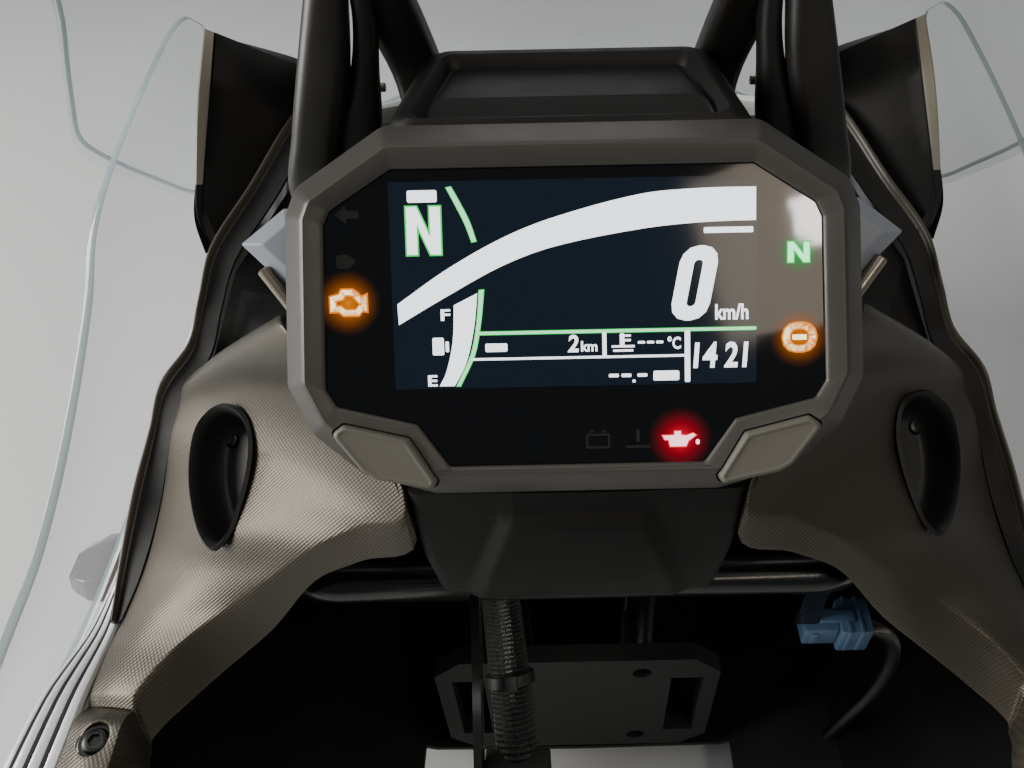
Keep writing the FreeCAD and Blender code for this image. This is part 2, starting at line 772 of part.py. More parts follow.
def make_deflectors():
    rows = []
    for y, edge_x, edge_z, foot_x, foot_z in DEFLECTOR_ROWS:
        middle = ((edge_x + foot_x) / 2 + 3, y, (edge_z + foot_z) / 2)
        rows.append(((edge_x, y, edge_z), middle, (foot_x, y, foot_z)))
    sheet_shape = fitted(plate(rows, 4), world("side_cowl_right"))
    wing = plate(WING_ROWS, 5)
    wing = fitted(wing, world("side_cowl_right"), world("rim_trim_right"), sheet_shape)
    for name, side in SIDES:
        add("deflector_" + name, mirrored(sheet_shape, side))
        add("deflector_bracket_" + name, mirrored(wing, side))


make_deflectors()

# Screen stay: columns are inner x, outer x, y and z, from the top down.
OUTER_LEG = (
    (64, 75, 102, 292), (67, 83, 94, 264), (72, 88, 90, 246),
    (76, 93, 88, 226), (68, 88, 104, 150), (56, 72, 112, 66),
)
INNER_LEG = ((50, 68, 104, 292), (45, 63, 112, 270), (41, 58, 118, 248), (36, 55, 112, 222))
MIDDLE_LEG = (
    (58, 64.4, 103, 292), (58, 64.4, 102, 277), (59.5, 68, 99, 261), (62, 78, 96, 240), (70, 80, 94, 224),
)
LEG_DEPTH = 13.0
WEB = ((88, 290), (108, 284), (168, 268), (178, 276), (101, 375), (90, 366))
WEB_THICKNESS = 8.0


def leg(columns):
    rows = [((outer, y, z), (inner, y, z)) for inner, outer, y, z in columns]
    return plate([tuple(reversed(row)) for row in rows], LEG_DEPTH)


def screen_box(x_low, x_high, start, end, low, high):
    return box((x_low, start, low), (x_high, end, high)).transformGeometry(SCREEN.toMatrix())


def make_screen_stays():
    across = size("rail_across")
    half = WEB_THICKNESS / 2
    corners = [Vector(across - half, y, z) for y, z in WEB]
    web = Part.Face(Part.makePolygon(corners + corners[:1])).extrude(Vector(WEB_THICKNESS, 0, 0))
    web = web.cut(Part.makeCylinder(17, 60, Vector(across - 30, 122, 306), X_AXIS))
    rail = screen_box(
        across - size("rail_width") / 2, across + size("rail_width") / 2,
        size("rail_start"), size("rail_end"), size("rail_back"), size("rail_back") + size("rail_depth"),
    )
    stay = web.fuse(rail).fuse(leg(OUTER_LEG)).fuse(leg(INNER_LEG)).fuse(leg(MIDDLE_LEG))
    stay = fitted(
        stay, *welded(), world("meter_hood"), world("meter_rear_case"), world("meter_bezel"),
        world("meter_bracket"), world("meter_lug_right"), world("inner_panel_right"),
    )
    for name, side in SIDES:
        add("screen_stay_" + name, mirrored(stay, side))


make_screen_stays()

# Dash liner in front of the instrument; its sides pass under the rim trims.
# Columns: y, then half width and z.
LINER_ROWS = (
    (70, 76, 140, 118, 146, 150, 128),
    (112, 76, 140, 112, 160, 137, 167),
    (156, 70, 150, 92, 180, 112, 190),
    (190, 58, 152, 76, 172, 104, 190),
    (240, 40, 150, 52, 152, 68, 160),
)


def make_liner():
    rows = []
    for y, x1, z1, x2, z2, x3, z3 in reversed(LINER_ROWS):
        half = ((x1, y, z1), (x2, y, z2), (x3, y, z3))
        rows.append([(-x, b, c) for x, b, c in reversed(half)] + list(half))
    shell = plate(rows, size("panel_wall"))
    stays = [world("screen_stay_" + name) for name, side in SIDES]
    add("dash_liner", fitted(shell, *stays, *welded(), world("meter_hood"), world("nose_cowl")))


make_liner()

# Front turn signals on short stalks through the side cowls.
SIGNAL_SPOT = (66, 20)
SIGNAL_OUTLINE = ((-19, 0), (-14, -10), (9, -11), (20, -4), (20, 4), (9, 11), (-14, 10))
# Columns: across the motorcycle, size of the outline.
SIGNAL_SECTIONS = ((204, 0.62), (210, 1.0), (236, 0.94), (247, 0.55))
SIGNAL_LENS_START = 213
STALK_START = 182
STALK_RADIUS = 8


def make_signals():
    y, z = SIGNAL_SPOT
    wires = []
    for x, scale in SIGNAL_SECTIONS:
        corners = [Vector(x, y + a * scale, z + b * scale) for a, b in SIGNAL_OUTLINE]
        wires.append(Part.makePolygon(corners + corners[:1]))
    whole = Part.makeLoft(wires, True, True)
    lens_zone = box((SIGNAL_LENS_START, y - 40, z - 40), (SIGNAL_LENS_START + 60, y + 40, z + 40))
    lens = whole.common(lens_zone)
    reach = SIGNAL_SECTIONS[1][0] - STALK_START
    stalk = Part.makeCylinder(STALK_RADIUS, reach, Vector(STALK_START, y, z), X_AXIS)
    cowl_cut = world("side_cowl_right").cut(stalk)
    housing = fitted(whole.cut(lens_zone).fuse(stalk), cowl_cut, world("deflector_right"))
    for name, side in SIDES:
        made["side_cowl_" + name].Shape = mirrored(biggest(cowl_cut), side)
        add("turn_signal_" + name, mirrored(housing, side))
        add("turn_lens_" + name, mirrored(lens, side))


make_signals()

# Windscreen outline, half width along the sheet's chord and height up the screen.
SCREEN_HALF = (
    (50, 402), (96, 392), (126, 370), (142, 335), (152, 290), (166, 232), (184, 170), (197, 145),
    (210, 112), (213, 88), (209, 58), (202, 21), (190, -6), (174, -14), (120, -8), (60, -2),
)


# Levels of the carrier's bridge behind the screen, in the screen's frame.
BRIDGE_LEVELS = (13.0, 17.0)


def make_windscreen():
    radius = size("screen_radius")
    wall = size("screen_wall")
    base = Vector(0, -60, radius)
    sheet_shape = Part.makeCylinder(radius, 500, base, Y_AXIS)
    sheet_shape = sheet_shape.cut(Part.makeCylinder(radius - wall, 500, base, Y_AXIS))
    sheet_shape = sheet_shape.common(prism(both_sides(SCREEN_HALF), -10, 120))
    for side in (-1, 1):
        spot = Vector(side * size("rail_across"), size("shoe_start") + size("shoe_length") / 2, -20)
        sheet_shape = sheet_shape.cut(Part.makeCylinder(4.6, 60, spot, Z_AXIS))
    add("windscreen", biggest(sheet_shape).transformGeometry(SCREEN.toMatrix()))


def make_carrier():
    """Two shoes on the rails, joined by a bridge behind the screen."""
    across, play = size("rail_across"), size("shoe_play")
    start, end = size("shoe_start"), size("shoe_start") + size("shoe_length")
    rail_front, rail_depth = size("rail_back"), size("rail_depth")
    rail_half = size("rail_width") / 2
    web_half = WEB_THICKNESS / 2
    bridge_low, bridge_high = BRIDGE_LEVELS
    carrier = box((-across, start + 8, bridge_low), (across, end - 8, bridge_high))
    for side in (-1, 1):
        x = side * across
        shoe = box((x - 14, start, bridge_low), (x + 14, end, rail_front + rail_depth + 7))
        slot = box(
            (x - rail_half - play, start - 1, rail_front - play),
            (x + rail_half + play, end + 1, rail_front + rail_depth + play),
        )
        throat = box(
            (x - web_half - play, start - 1, rail_front),
            (x + web_half + play, end + 1, rail_front + 40),
        )
        plate_shape = box((x - 14, start - 16, bridge_low), (x + 14, end + 16, bridge_high))
        carrier = carrier.fuse(plate_shape).fuse(shoe.cut(slot).cut(throat))
        for height in (start - 8, end + 8):
            carrier = carrier.fuse(Part.makeCylinder(6, 12, Vector(x, height, 5), Z_AXIS))
    carrier = carrier.transformGeometry(SCREEN.toMatrix())
    add("screen_carrier", fitted(carrier, world("windscreen")))


def make_knobs():
    """Each knob stands on the screen's outer face; its stud ends on the carrier's shoe."""
    outer = size("screen_radius")
    near = size("rail_across") - size("knob_radius")
    seat = outer - math.sqrt(outer ** 2 - near ** 2)
    for name, side in SIDES:
        spot = Vector(side * size("rail_across"), size("shoe_start") + size("shoe_length") / 2, 0)
        head = solid_object(
            "Part::Cylinder", "knob_head_" + name,
            SCREEN.multiply(Placement(spot + Z_AXIS * (seat - size("knob_depth")), Rotation())),
            {"Radius": "Sizes.knob_radius", "Height": "Sizes.knob_depth"},
        )
        stem = solid_object(
            "Part::Cylinder", "knob_stud_" + name,
            SCREEN.multiply(Placement(spot - Z_AXIS, Rotation())),
            {"Radius": "Sizes.knob_stem", "Height": "%s + 1" % BRIDGE_LEVELS[0]},
        )
        joined("screen_knob_" + name, head, stem)


make_windscreen()
make_carrier()
make_knobs()

# Under cover between the cowls, from the rear to the front.
# Columns: y, then x and z of the middle, the side of the tunnel and the outer edge.
UNDER_ROWS = (
    (-66, 0, -50, 78, -46, 126, -18, 204, 10),
    (-16, 0, -52, 72, -50, 122, -22, 200, 4),
    (34, 0, -54, 70, -52, 120, -24, 195, -4),
    (112, 0, -58, 66, -55, 104, -32, 179, -20),
    (188, 0, -64, 60, -62, 92, -48, 149, -33),
)


def make_under_cover():
    """Closes the module from below; its middle passes under the mounting plate."""
    rows = []
    for y, x1, z1, x2, z2, x3, z3, x4, z4 in UNDER_ROWS:
        half = ((x2, y, z2), (x3, y, z3), (x4, y, z4))
        rows.append([(-x, b, c) for x, b, c in reversed(half)] + [(x1, y, z1)] + list(half))
    shell = plate(list(reversed(rows)), size("panel_wall"))
    shell = shell.cut(box((-76, -100, -70), (76, 1, 30)))
    add("under_cover", fitted(
        shell, world("stay_frame"), world("nose_cowl"), world("side_cowl_left"), world("side_cowl_right"),
        world("turn_signal_left"), world("turn_signal_right"),
    ))


make_under_cover()

# Wiring loom from the instrument, under the bow tube, to its plug at the steering head.
LOOM_RUN = (
    (-30, 18, 178), (-30, 13, 158), (-30, 15, 136), (-30, 13, 112),
    (-29, 0, 90), (-26, -20, 74), (-23, -44, 57),
)
LOOM_RADIUS = 6.5
METER_PLUG = rectangle(34, 12, (-30, -40))
METER_PLUG_DEPTH = 10
LOOM_PLUG = ((-35, -68, 44), (-11, -42, 64))


def make_loom():
    rear = size("bezel_back") - size("case_depth")
    socket = prism(METER_PLUG, rear - METER_PLUG_DEPTH, rear, FACE)
    add("meter_plug", fitted(socket, *welded(), world("meter_bracket"), world("lower_cover")))
    add("loom_plug", fitted(box(*LOOM_PLUG), world("stay_frame")))
    carriers = ("meter_plug", "loom_plug", "lower_cover", "meter_rear_case", "stay_frame", "instrument_hoop")
    loom = tube(LOOM_RUN, LOOM_RADIUS)
    add("instrument_loom", fitted(loom, *[world(label) for label in carriers]))


make_loom()

# Connector pair on the tab under the bow tube, and its short cable to the under cover.
# Corners of the narrow and the wide half of the housing.
CONNECTOR_HALVES = (((92, 0, 57), (106, 10, 68)), ((106, -2, 54.5), (119, 13, 70)))
CABLE_RUN = ((117, 5, 62), (130, 5, 57), (136, 2, 40), (133, -2, 15), (122, -6, -9), (118, -7, -26))
CABLE_RADIUS = 3.2


def make_connector():
    low_half, wide_half = [box(*corners) for corners in CONNECTOR_HALVES]
    housing = fitted(low_half.fuse(wide_half), world("stay_frame"))
    add("side_connector", housing)
    cable = fitted(tube(CABLE_RUN, CABLE_RADIUS, 20), housing, world("under_cover"))
    add("connector_cable", cable)


make_connector()

doc.recompute()
for item in doc.Objects:
    if "Invalid" in item.State or "Error" in item.State:
        raise RuntimeError(item.Name + " failed")
for label, item in made.items():
    shape = item.Shape
    if shape.isNull() or not shape.isValid() or len(shape.Solids) != 1:
        raise RuntimeError("%s is not one valid solid (%d)" % (label, len(shape.Solids)))
for label, item in made.items():
    item.Shape.exportStep(os.path.join("parts", label + ".step"))
    print(label, round(item.Shape.Volume), len(item.Shape.Faces))
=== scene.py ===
# Looks of a motorcycle cockpit module: display, panels, fairing, screen and stay.
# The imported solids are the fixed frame; every piece here sits in that frame, in metres.
import math

import bpy
from mathutils import Matrix, Vector
from mathutils.geometry import interpolate_bezier


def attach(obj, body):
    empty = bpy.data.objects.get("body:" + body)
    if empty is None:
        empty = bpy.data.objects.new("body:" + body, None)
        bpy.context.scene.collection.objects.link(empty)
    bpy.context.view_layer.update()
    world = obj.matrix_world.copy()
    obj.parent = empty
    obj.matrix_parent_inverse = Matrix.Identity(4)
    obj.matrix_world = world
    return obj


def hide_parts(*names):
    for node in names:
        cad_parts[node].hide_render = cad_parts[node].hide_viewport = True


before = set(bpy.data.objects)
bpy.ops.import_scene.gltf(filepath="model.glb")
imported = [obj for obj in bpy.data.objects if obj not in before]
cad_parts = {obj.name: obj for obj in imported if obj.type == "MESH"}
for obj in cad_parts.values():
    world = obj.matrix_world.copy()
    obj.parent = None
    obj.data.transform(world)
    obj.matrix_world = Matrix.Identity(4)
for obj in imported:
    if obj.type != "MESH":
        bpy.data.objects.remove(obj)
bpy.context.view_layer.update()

MM = 0.001
# Corners of a mesh that lie closer than this are one.
SEAM_GAP = 0.002 * MM
FIXED = "fairing"
MOVING = "screen"

# The display's own frame: local X across, Y up the face, Z towards the rider.
FACE = Matrix.Translation((0, 0.010, 0.240)) @ Matrix.Rotation(math.radians(50), 4, "X")
# The windscreen's frame: local X across, Y up the sheet, Z towards the rider.
SCREEN = Matrix.Translation((0, 0.310, 0.166)) @ Matrix.Rotation(math.radians(90 + 38), 4, "X")
# The object's own frame.
LEVEL = Matrix.Identity(4)

# Camera at the rider's eye, as the photograph was taken.
CAMERA_PLACE = (-0.0029, -0.1606, 0.3767)
CAMERA_DIP = math.radians(45.6)
CAMERA_ROLL = math.radians(1.15)
FOCAL_PIXELS = 828
FRAME_WIDTH = 1024
CENTRE_PIXEL = 565


def set_camera():
    data = bpy.data.cameras.new("photo_camera")
    data.sensor_width = 36
    data.lens = FOCAL_PIXELS / FRAME_WIDTH * data.sensor_width
    data.shift_x = (FRAME_WIDTH / 2 - CENTRE_PIXEL) / FRAME_WIDTH
    data.clip_start = 0.01
    camera = bpy.data.objects.new("photo_camera", data)
    bpy.context.scene.collection.objects.link(camera)
    turn = Matrix.Rotation(math.pi / 2 - CAMERA_DIP, 4, "X") @ Matrix.Rotation(-CAMERA_ROLL, 4, "Z")
    camera.matrix_world = Matrix.Translation(CAMERA_PLACE) @ turn
    bpy.context.scene.camera = camera


set_camera()


# Lines and outlines, in millimetres.

def line_through(points, steps):
    """A smooth line through points, with as many steps between each two."""
    points = [Vector(point) for point in points]
    aims = [points[1] - points[0]]
    aims += [after - before for before, after in zip(points, points[2:])]
    aims.append(points[-1] - points[-2])
    line = []
    for index, (here, there) in enumerate(zip(points, points[1:])):
        reach = (there - here).length / 3
        leave = here + aims[index].normalized() * reach
        arrive = there - aims[index + 1].normalized() * reach
        line += interpolate_bezier(here, leave, arrive, there, steps + 1)[:-1]
    return line + [points[-1]]


def creased_line(points, steps, creases):
    """A line through points that is smooth but for the points numbered in creases."""
    cuts = [0, *creases, len(points) - 1]
    line = []
    for first, last in zip(cuts, cuts[1:]):
        line += line_through(points[first:last + 1], steps)[:-1]
    return line + [Vector(points[-1])]


def closed_line(points, steps):
    """A smooth closed line through points."""
    wrapped = [*points[-2:], *points, *points[:3]]
    return line_through(wrapped, steps)[2 * steps:(2 + len(points)) * steps]


def eased(row, index, reach):
    """Replaces one corner of a row by three points on a soft bend."""
    corner = Vector(row[index])
    arms = [Vector(row[index + step]) - corner for step in (-1, 1)]
    first, last = [corner + arm.normalized() * min(reach, 0.4 * arm.length) for arm in arms]
    return [*row[:index], first, (first + 2 * corner + last) / 4, last, *row[index + 1:]]


def patch(rows, down, across, creases=()):
    """Fills in rows of points to a smooth grid; creases number the columns that stay sharp."""
    lines = [creased_line(row, across, creases) for row in rows]
    columns = [line_through(column, down) for column in zip(*lines)]
    return [list(row) for row in zip(*columns)]


def flat_line(points, steps):
    """A smooth line through points of a plane."""
    return [(x, y) for x, y, _ in line_through([(*point, 0) for point in points], steps)]


def circle(sides):
    """The angles of one turn, in even steps."""
    return [2 * math.pi * step / sides for step in range(sides)]


def shifted(outline, across, up):
    return [(x + across, y + up) for x, y in outline]


def both_sides(half):
    """Closes a half outline, listed from the top down, anticlockwise round the centre line."""
    return [(-x, y) for x, y in half] + [(x, y) for x, y in reversed(half)]


def inset(outline, distance):
    """Moves each side of an anticlockwise outline inwards."""
    moved = []
    for index, spot in enumerate(outline):
        corner = Vector(spot)
        into = (corner - Vector(outline[index - 1])).normalized()
        out = (Vector(outline[(index + 1) % len(outline)]) - corner).normalized()
        side = Vector((-into.y, into.x))
        middle = (side + Vector((-out.y, out.x))).normalized()
        moved.append(corner + middle * (distance / middle.dot(side)))
    return moved


def rounded(outline, radius, steps=6):
    """Turns each corner of an outline to an arc."""
    ring = []
    for index, spot in enumerate(outline):
        corner = Vector(spot)
        before = Vector(outline[index - 1]) - corner
        after = Vector(outline[(index + 1) % len(outline)]) - corner
        half_turn = (math.pi - before.angle(after)) / 2
        reach = min(radius * math.tan(half_turn), 0.45 * before.length, 0.45 * after.length)
        middle = (before.normalized() + after.normalized()).normalized()
        centre = corner + middle * (reach / math.sin(half_turn))
        first = corner + before.normalized() * reach - centre
        last = corner + after.normalized() * reach - centre
        sweep = first.angle(last)
        for step in range(steps + 1):
            share = step / steps
            start = math.sin((1 - share) * sweep) / math.sin(sweep)
            end = math.sin(share * sweep) / math.sin(sweep)
            ring.append(centre + first * start + last * end)
    return ring


def raised(outline, level):
    """A flat outline at a level of its frame."""
    return [Vector((x, y, level)) for x, y in outline]


# Tools of the workbench: each acts on one piece.

def only(item):
    """Makes a piece the one that operators act on."""
    bpy.ops.object.select_all(action="DESELECT")
    item.select_set(True)
    bpy.context.view_layer.objects.active = item


def edited(item, *steps):
    """Runs edit mode operators on all of a piece. Each step is an operator and its settings."""
    only(item)
    bpy.ops.object.mode_set(mode="EDIT")
    for operator, settings in steps:
        bpy.ops.mesh.select_all(action="SELECT")
        operator(**settings)
    bpy.ops.object.mode_set(mode="OBJECT")
    return item


def changed(item, kind, **settings):
    """Adds a modifier to a piece and applies it."""
    only(item)
    change = item.modifiers.new("change", kind)
    for name, value in settings.items():
        setattr(change, name, value)
    bpy.ops.object.modifier_apply(modifier=change.name)
    return item


def merged(item, filled=True):
    """Joins the seams of a new mesh, closes its open ends and turns its faces outwards."""
    steps = [(bpy.ops.mesh.remove_doubles, {"threshold": SEAM_GAP})]
    if filled:
        steps.append((bpy.ops.mesh.fill_holes, {"sides": 0}))
    return edited(item, *steps, (bpy.ops.mesh.normals_make_consistent, {"inside": False}))


def sheet(name, rows, place=LEVEL):
    """A grid primitive whose corners are laid on rows of points in a frame, in millimetres."""
    bpy.ops.object.select_all(action="DESELECT")
    bpy.ops.mesh.primitive_grid_add(x_subdivisions=len(rows[0]) - 1, y_subdivisions=len(rows) - 1)
    item = bpy.context.active_object
    item.name = name
    corners = [corner for row in rows for corner in row]
    for vertex, corner in zip(item.data.vertices, corners):
        vertex.co = place @ (Vector(corner) * MM)
    return item


def loft(name, rings, place=LEVEL):
    """A closed solid through rings of points, with flat ends."""
    return merged(sheet(name, [[*ring, ring[0]] for ring in rings], place))


def hoop(name, rings, place=LEVEL):
    """A closed ring of material: the rings go once round its section and come back to the first."""
    return merged(sheet(name, [[*ring, ring[0]] for ring in (*rings, rings[0])], place), False)


def turned(name, section, sides=24, place=LEVEL):
    """A round solid from its section. Columns: radius, level."""
    rings = []
    for radius, level in section:
        rings.append([(radius * math.cos(turn), radius * math.sin(turn), level) for turn in circle(sides)])
    return loft(name, rings, place)


def facing(spot, normal):
    """A frame at a spot in millimetres whose Z points along a normal."""
    turn = Vector(normal).to_track_quat("Z", "Y").to_matrix().to_4x4()
    return Matrix.Translation(Vector(spot) * MM) @ turn


def rod(name, start, end, radius, sides=20):
    """A round bar between two places, with softened ends."""
    along = Vector(end) - Vector(start)
    section = ((radius * 0.8, 0), (radius, radius * 0.2), (radius, along.length - radius * 0.2),
               (radius * 0.8, along.length))
    return turned(name, section, sides, facing(start, along))


def hose(name, route, radius, sides=16, ends=(1.0, 1.0)):
    """A tube of even width along a smooth line; its UV map runs round and along it."""
    curve = bpy.data.curves.new("route", "CURVE")
    curve.dimensions = "3D"
    spline = curve.splines.new("NURBS")
    spline.points.add(len(route) - 1)
    for point, spot in zip(spline.points, route):
        point.co = (*(Vector(spot) * MM), 1)
    spline.order_u = 3
    spline.use_endpoint_u = True
    spline.resolution_u = 8
    guide = bpy.data.objects.new("route", curve)
    bpy.context.scene.collection.objects.link(guide)
    mesh = bpy.data.meshes.new_from_object(guide)
    line = [vertex.co / MM for vertex in mesh.vertices]
    bpy.data.objects.remove(guide)
    side = Vector((1, 0, 0))
    rings = []
    for index, spot in enumerate(line):
        along = (line[min(index + 1, len(line) - 1)] - line[max(index - 1, 0)]).normalized()
        side = (side - along * side.dot(along)).normalized()
        over = along.cross(side)
        share = index / (len(line) - 1)
        width = radius * (ends[0] + (ends[1] - ends[0]) * share)
        turns = [*circle(sides), 2 * math.pi]
        rings.append([spot + (side * math.cos(turn) + over * math.sin(turn)) * width for turn in turns])
    return merged(sheet(name, rings))


def copied(node, name):
    """A merged copy of a solid, with its flat faces whole again."""
    item = bpy.data.objects.new(name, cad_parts[node].data.copy())
    item.data.materials.clear()
    bpy.context.scene.collection.objects.link(item)
    return edited(
        item,
        (bpy.ops.mesh.remove_doubles, {"threshold": 0.01 * MM}),
        (bpy.ops.mesh.dissolve_limited, {"angle_limit": math.radians(1)}),
    )


def walled(item, wall, rim_finish=0):
    """Gives a sheet its thickness on the side that its faces turn away from."""
    return changed(
        item, "SOLIDIFY", thickness=wall * MM, offset=-1, use_even_offset=True,
        material_offset_rim=rim_finish,
    )


def softened(item, width, angle=30, segments=3):
    """Rounds the edges that turn by more than an angle."""
    return changed(
        item, "BEVEL", width=width * MM, segments=segments, limit_method="ANGLE",
        angle_limit=math.radians(angle), use_clamp_overlap=True,
    )


def shaded(item, angle=32):
    """Smooths the shading over the edges that turn by less than an angle."""
    only(item)
    bpy.ops.object.shade_smooth_by_angle(angle=math.radians(angle))
    return item


def combined(item, tool, operation="DIFFERENCE"):
    """Cuts a piece with a tool, or keeps what they share, and removes the tool."""
    changed(item, "BOOLEAN", object=tool, operation=operation, solver="EXACT")
    bpy.data.objects.remove(tool)
    return item


def two_tone(item, main, other, picks):
    """Gives a piece two materials; the faces that the rule picks take the second one."""
    item.data.materials.append(main)
    item.data.materials.append(other)
    for face in item.data.polygons:
        face.material_index = int(picks(face))
    return item


def united(name, items):
    """Makes several pieces one object."""
    only(items[0])
    for item in items[1:]:
        item.select_set(True)
    if len(items) > 1:
        bpy.ops.object.join()
    items[0].name = name
    return items[0]


def settle(item, material, nodes=(), body=FIXED):
    """Gives a piece its material, its body and the nodes that it stands for."""
    if not item.data.materials:
        item.data.materials.append(material)
    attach(item, body)
    if nodes:
        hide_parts(*nodes)
    return item


def settle_pair(item, material, nodes=(), body=FIXED, twin_material=None):
    """Settles a right-hand piece and its mirror image; nodes are named without their side."""
    stem = item.name
    twin = item.copy()
    twin.data = item.data.copy()
    bpy.context.scene.collection.objects.link(twin)
    twin.data.transform(Matrix.Scale(-1, 4, (1, 0, 0)))
    twin.data.flip_normals()
    item.name = stem + "_right"
    twin.name = stem + "_left"
    settle(item, material, [node + "_right" for node in nodes], body)
    settle(twin, twin_material or material, [node + "_left" for node in nodes], body)


# Materials.

def linear(hex_colour):
    """Turns an sRGB hex colour to the linear values that shaders use."""
    values = []
    for start in (0, 2, 4):
        value = int(hex_colour[start:start + 2], 16) / 255
        values.append(value / 12.92 if value <= 0.04045 else ((value + 0.055) / 1.055) ** 2.4)
    return (*values, 1.0)


def add_node(material, kind, inputs=None, links=None, **settings):
    """Adds a shader node with its settings, its socket values and the sockets that feed it."""
    node = material.node_tree.nodes.new(kind)
    for name, value in settings.items():
        setattr(node, name, value)
    for name, value in (inputs or {}).items():
        node.inputs[name].default_value = value
    for name, source in (links or {}).items():
        material.node_tree.links.new(source, node.inputs[name])
    return node


def new_material(name):
    material = bpy.data.materials.new(name)
    material.use_nodes = True
    material.node_tree.nodes.clear()
    return material


def close_material(material, inputs, links=None):
    """Ends a material in one surface shader."""
    shader = add_node(material, "ShaderNodeBsdfPrincipled", inputs, links)
    add_node(material, "ShaderNodeOutputMaterial", links={"Surface": shader.outputs["BSDF"]})
    return material


def moulded_plastic(name, colour, roughness, grain_mm=0.35, depth=0.25, **surface):
    """Injection moulded plastic: a spark-eroded mould leaves a fine even grain and a soft sheen."""
    material = new_material(name)
    place = add_node(material, "ShaderNodeTexCoord")
    grain = add_node(
        material, "ShaderNodeTexNoise", {"Scale": 1 / (grain_mm * MM), "Detail": 3.0, "Roughness": 0.6},
        {"Vector": place.outputs["Object"]},
    )
    bump = add_node(
        material, "ShaderNodeBump", {"Strength": depth, "Distance": 0.1 * MM},
        {"Height": grain.outputs["Fac"]},
    )
    patches = add_node(
        material, "ShaderNodeTexNoise", {"Scale": 60.0, "Detail": 2.0},
        {"Vector": place.outputs["Object"]},
    )
    shine = add_node(
        material, "ShaderNodeMapRange",
        {"From Min": 0.3, "From Max": 0.7, "To Min": roughness - 0.04, "To Max": roughness + 0.06},
        {"Value": patches.outputs["Fac"]},
    )
    return close_material(
        material, {"Base Color": linear(colour), "IOR": 1.49, **surface},
        {"Normal": bump.outputs["Normal"], "Roughness": shine.outputs["Result"]},
    )


def crossing_waves(material, place, directions):
    """Sine waves over a surface. Columns of directions: a vector, and the waves in one unit along it."""
    waves = []
    for direction, count in directions:
        along = add_node(
            material, "ShaderNodeVectorMath", {1: direction}, {0: place}, operation="DOT_PRODUCT",
        )
        phase = add_node(
            material, "ShaderNodeMath", {1: 2 * math.pi * count}, {0: along.outputs["Value"]},
            operation="MULTIPLY",
        )
        wave = add_node(material, "ShaderNodeMath", {}, {0: phase.outputs["Value"]}, operation="SINE")
        waves.append(wave.outputs["Value"])
    return waves


def close_by_height(material, height, relief, levels, colours, surface):
    """Ends a material whose height gives its relief and its colour: the darker colour in the hollows, the
    lighter on top, as painted shade.
    """
    strength, depth = relief
    bump = add_node(
        material, "ShaderNodeBump", {"Strength": strength, "Distance": depth * MM}, {"Height": height},
    )
    low, high = levels
    shade = add_node(material, "ShaderNodeMapRange", {"From Min": low, "From Max": high}, {"Value": height})
    ramp = add_node(material, "ShaderNodeValToRGB", links={"Fac": shade.outputs["Result"]})
    for element, colour in zip(ramp.color_ramp.elements, colours):
        element.color = linear(colour)
    return close_material(
        material, surface, {"Base Color": ramp.outputs["Color"], "Normal": bump.outputs["Normal"]},
    )


def mesh_grained_abs(name, side):
    """ABS from an etched mould: a mesh of slanting ribs, drawn 1 mm apart so that it shows."""
    material = new_material(name)
    place = add_node(material, "ShaderNodeTexCoord")
    first, second = crossing_waves(material, place.outputs["Object"], (
        ((side * 0.62, 0.557, 0.546), 1 / (1.0 * MM)), ((side * 0.75, -0.45, -0.48), 1 / (1.3 * MM)),
    ))
    knots = add_node(material, "ShaderNodeMath", {1: 0.45}, {0: second, 2: first}, operation="MULTIPLY_ADD")
    # The hollows between the mesh's ribs are painted darker, as shade.
    return close_by_height(
        material, knots.outputs["Value"], (0.26, 0.12), (-1.3, 1.3), ("1f1d19", "37342d"),
        {"Roughness": 0.4, "IOR": 1.52, "Specular Tint": linear("fff3df")},
    )


def braided_sleeve():
    """Polyester monofilament braid: two sets of shiny threads cross in diamonds about 2 mm long."""
    material = new_material("black_polyester_braid")
    place = add_node(material, "ShaderNodeUVMap", uv_map="UVMap")
    first, second = crossing_waves(material, place.outputs["UV"], (
        ((BRAID_ROWS, BRAID_TURNS, 0), 1), ((BRAID_ROWS, -BRAID_TURNS, 0), 1),
    ))
    weave = add_node(material, "ShaderNodeMath", {}, {0: first, 1: second}, operation="MULTIPLY")
    # The braid is painted dark between its threads, as shade, and lighter on their crossings, as a painted
    # highlight.
    return close_by_height(
        material, weave.outputs["Value"], (0.9, 0.5), (-0.2, 0.9), ("060606", "3c3a36"),
        {"Roughness": 0.28, "IOR": 1.57},
    )


def rippled_skin(name, colour, roughness, scale, strength, depth):
    """An even shine over faint ripples."""
    material = new_material(name)
    place = add_node(material, "ShaderNodeTexCoord")
    ripple = add_node(
        material, "ShaderNodeTexNoise", {"Scale": scale, "Detail": 1.0}, {"Vector": place.outputs["Object"]},
    )
    bump = add_node(
        material, "ShaderNodeBump", {"Strength": strength, "Distance": depth * MM},
        {"Height": ripple.outputs["Fac"]},
    )
    return close_material(
        material, {"Base Color": linear(colour), "Roughness": roughness, "IOR": 1.5},
        {"Normal": bump.outputs["Normal"]},
    )


def gloss_plastic(name, colour, roughness=0.12):
    """Plastic from a polished mould: a deep even shine with flow ripples about 11 mm long."""
    return rippled_skin(name, colour, roughness, 90.0, 0.12, 0.3)


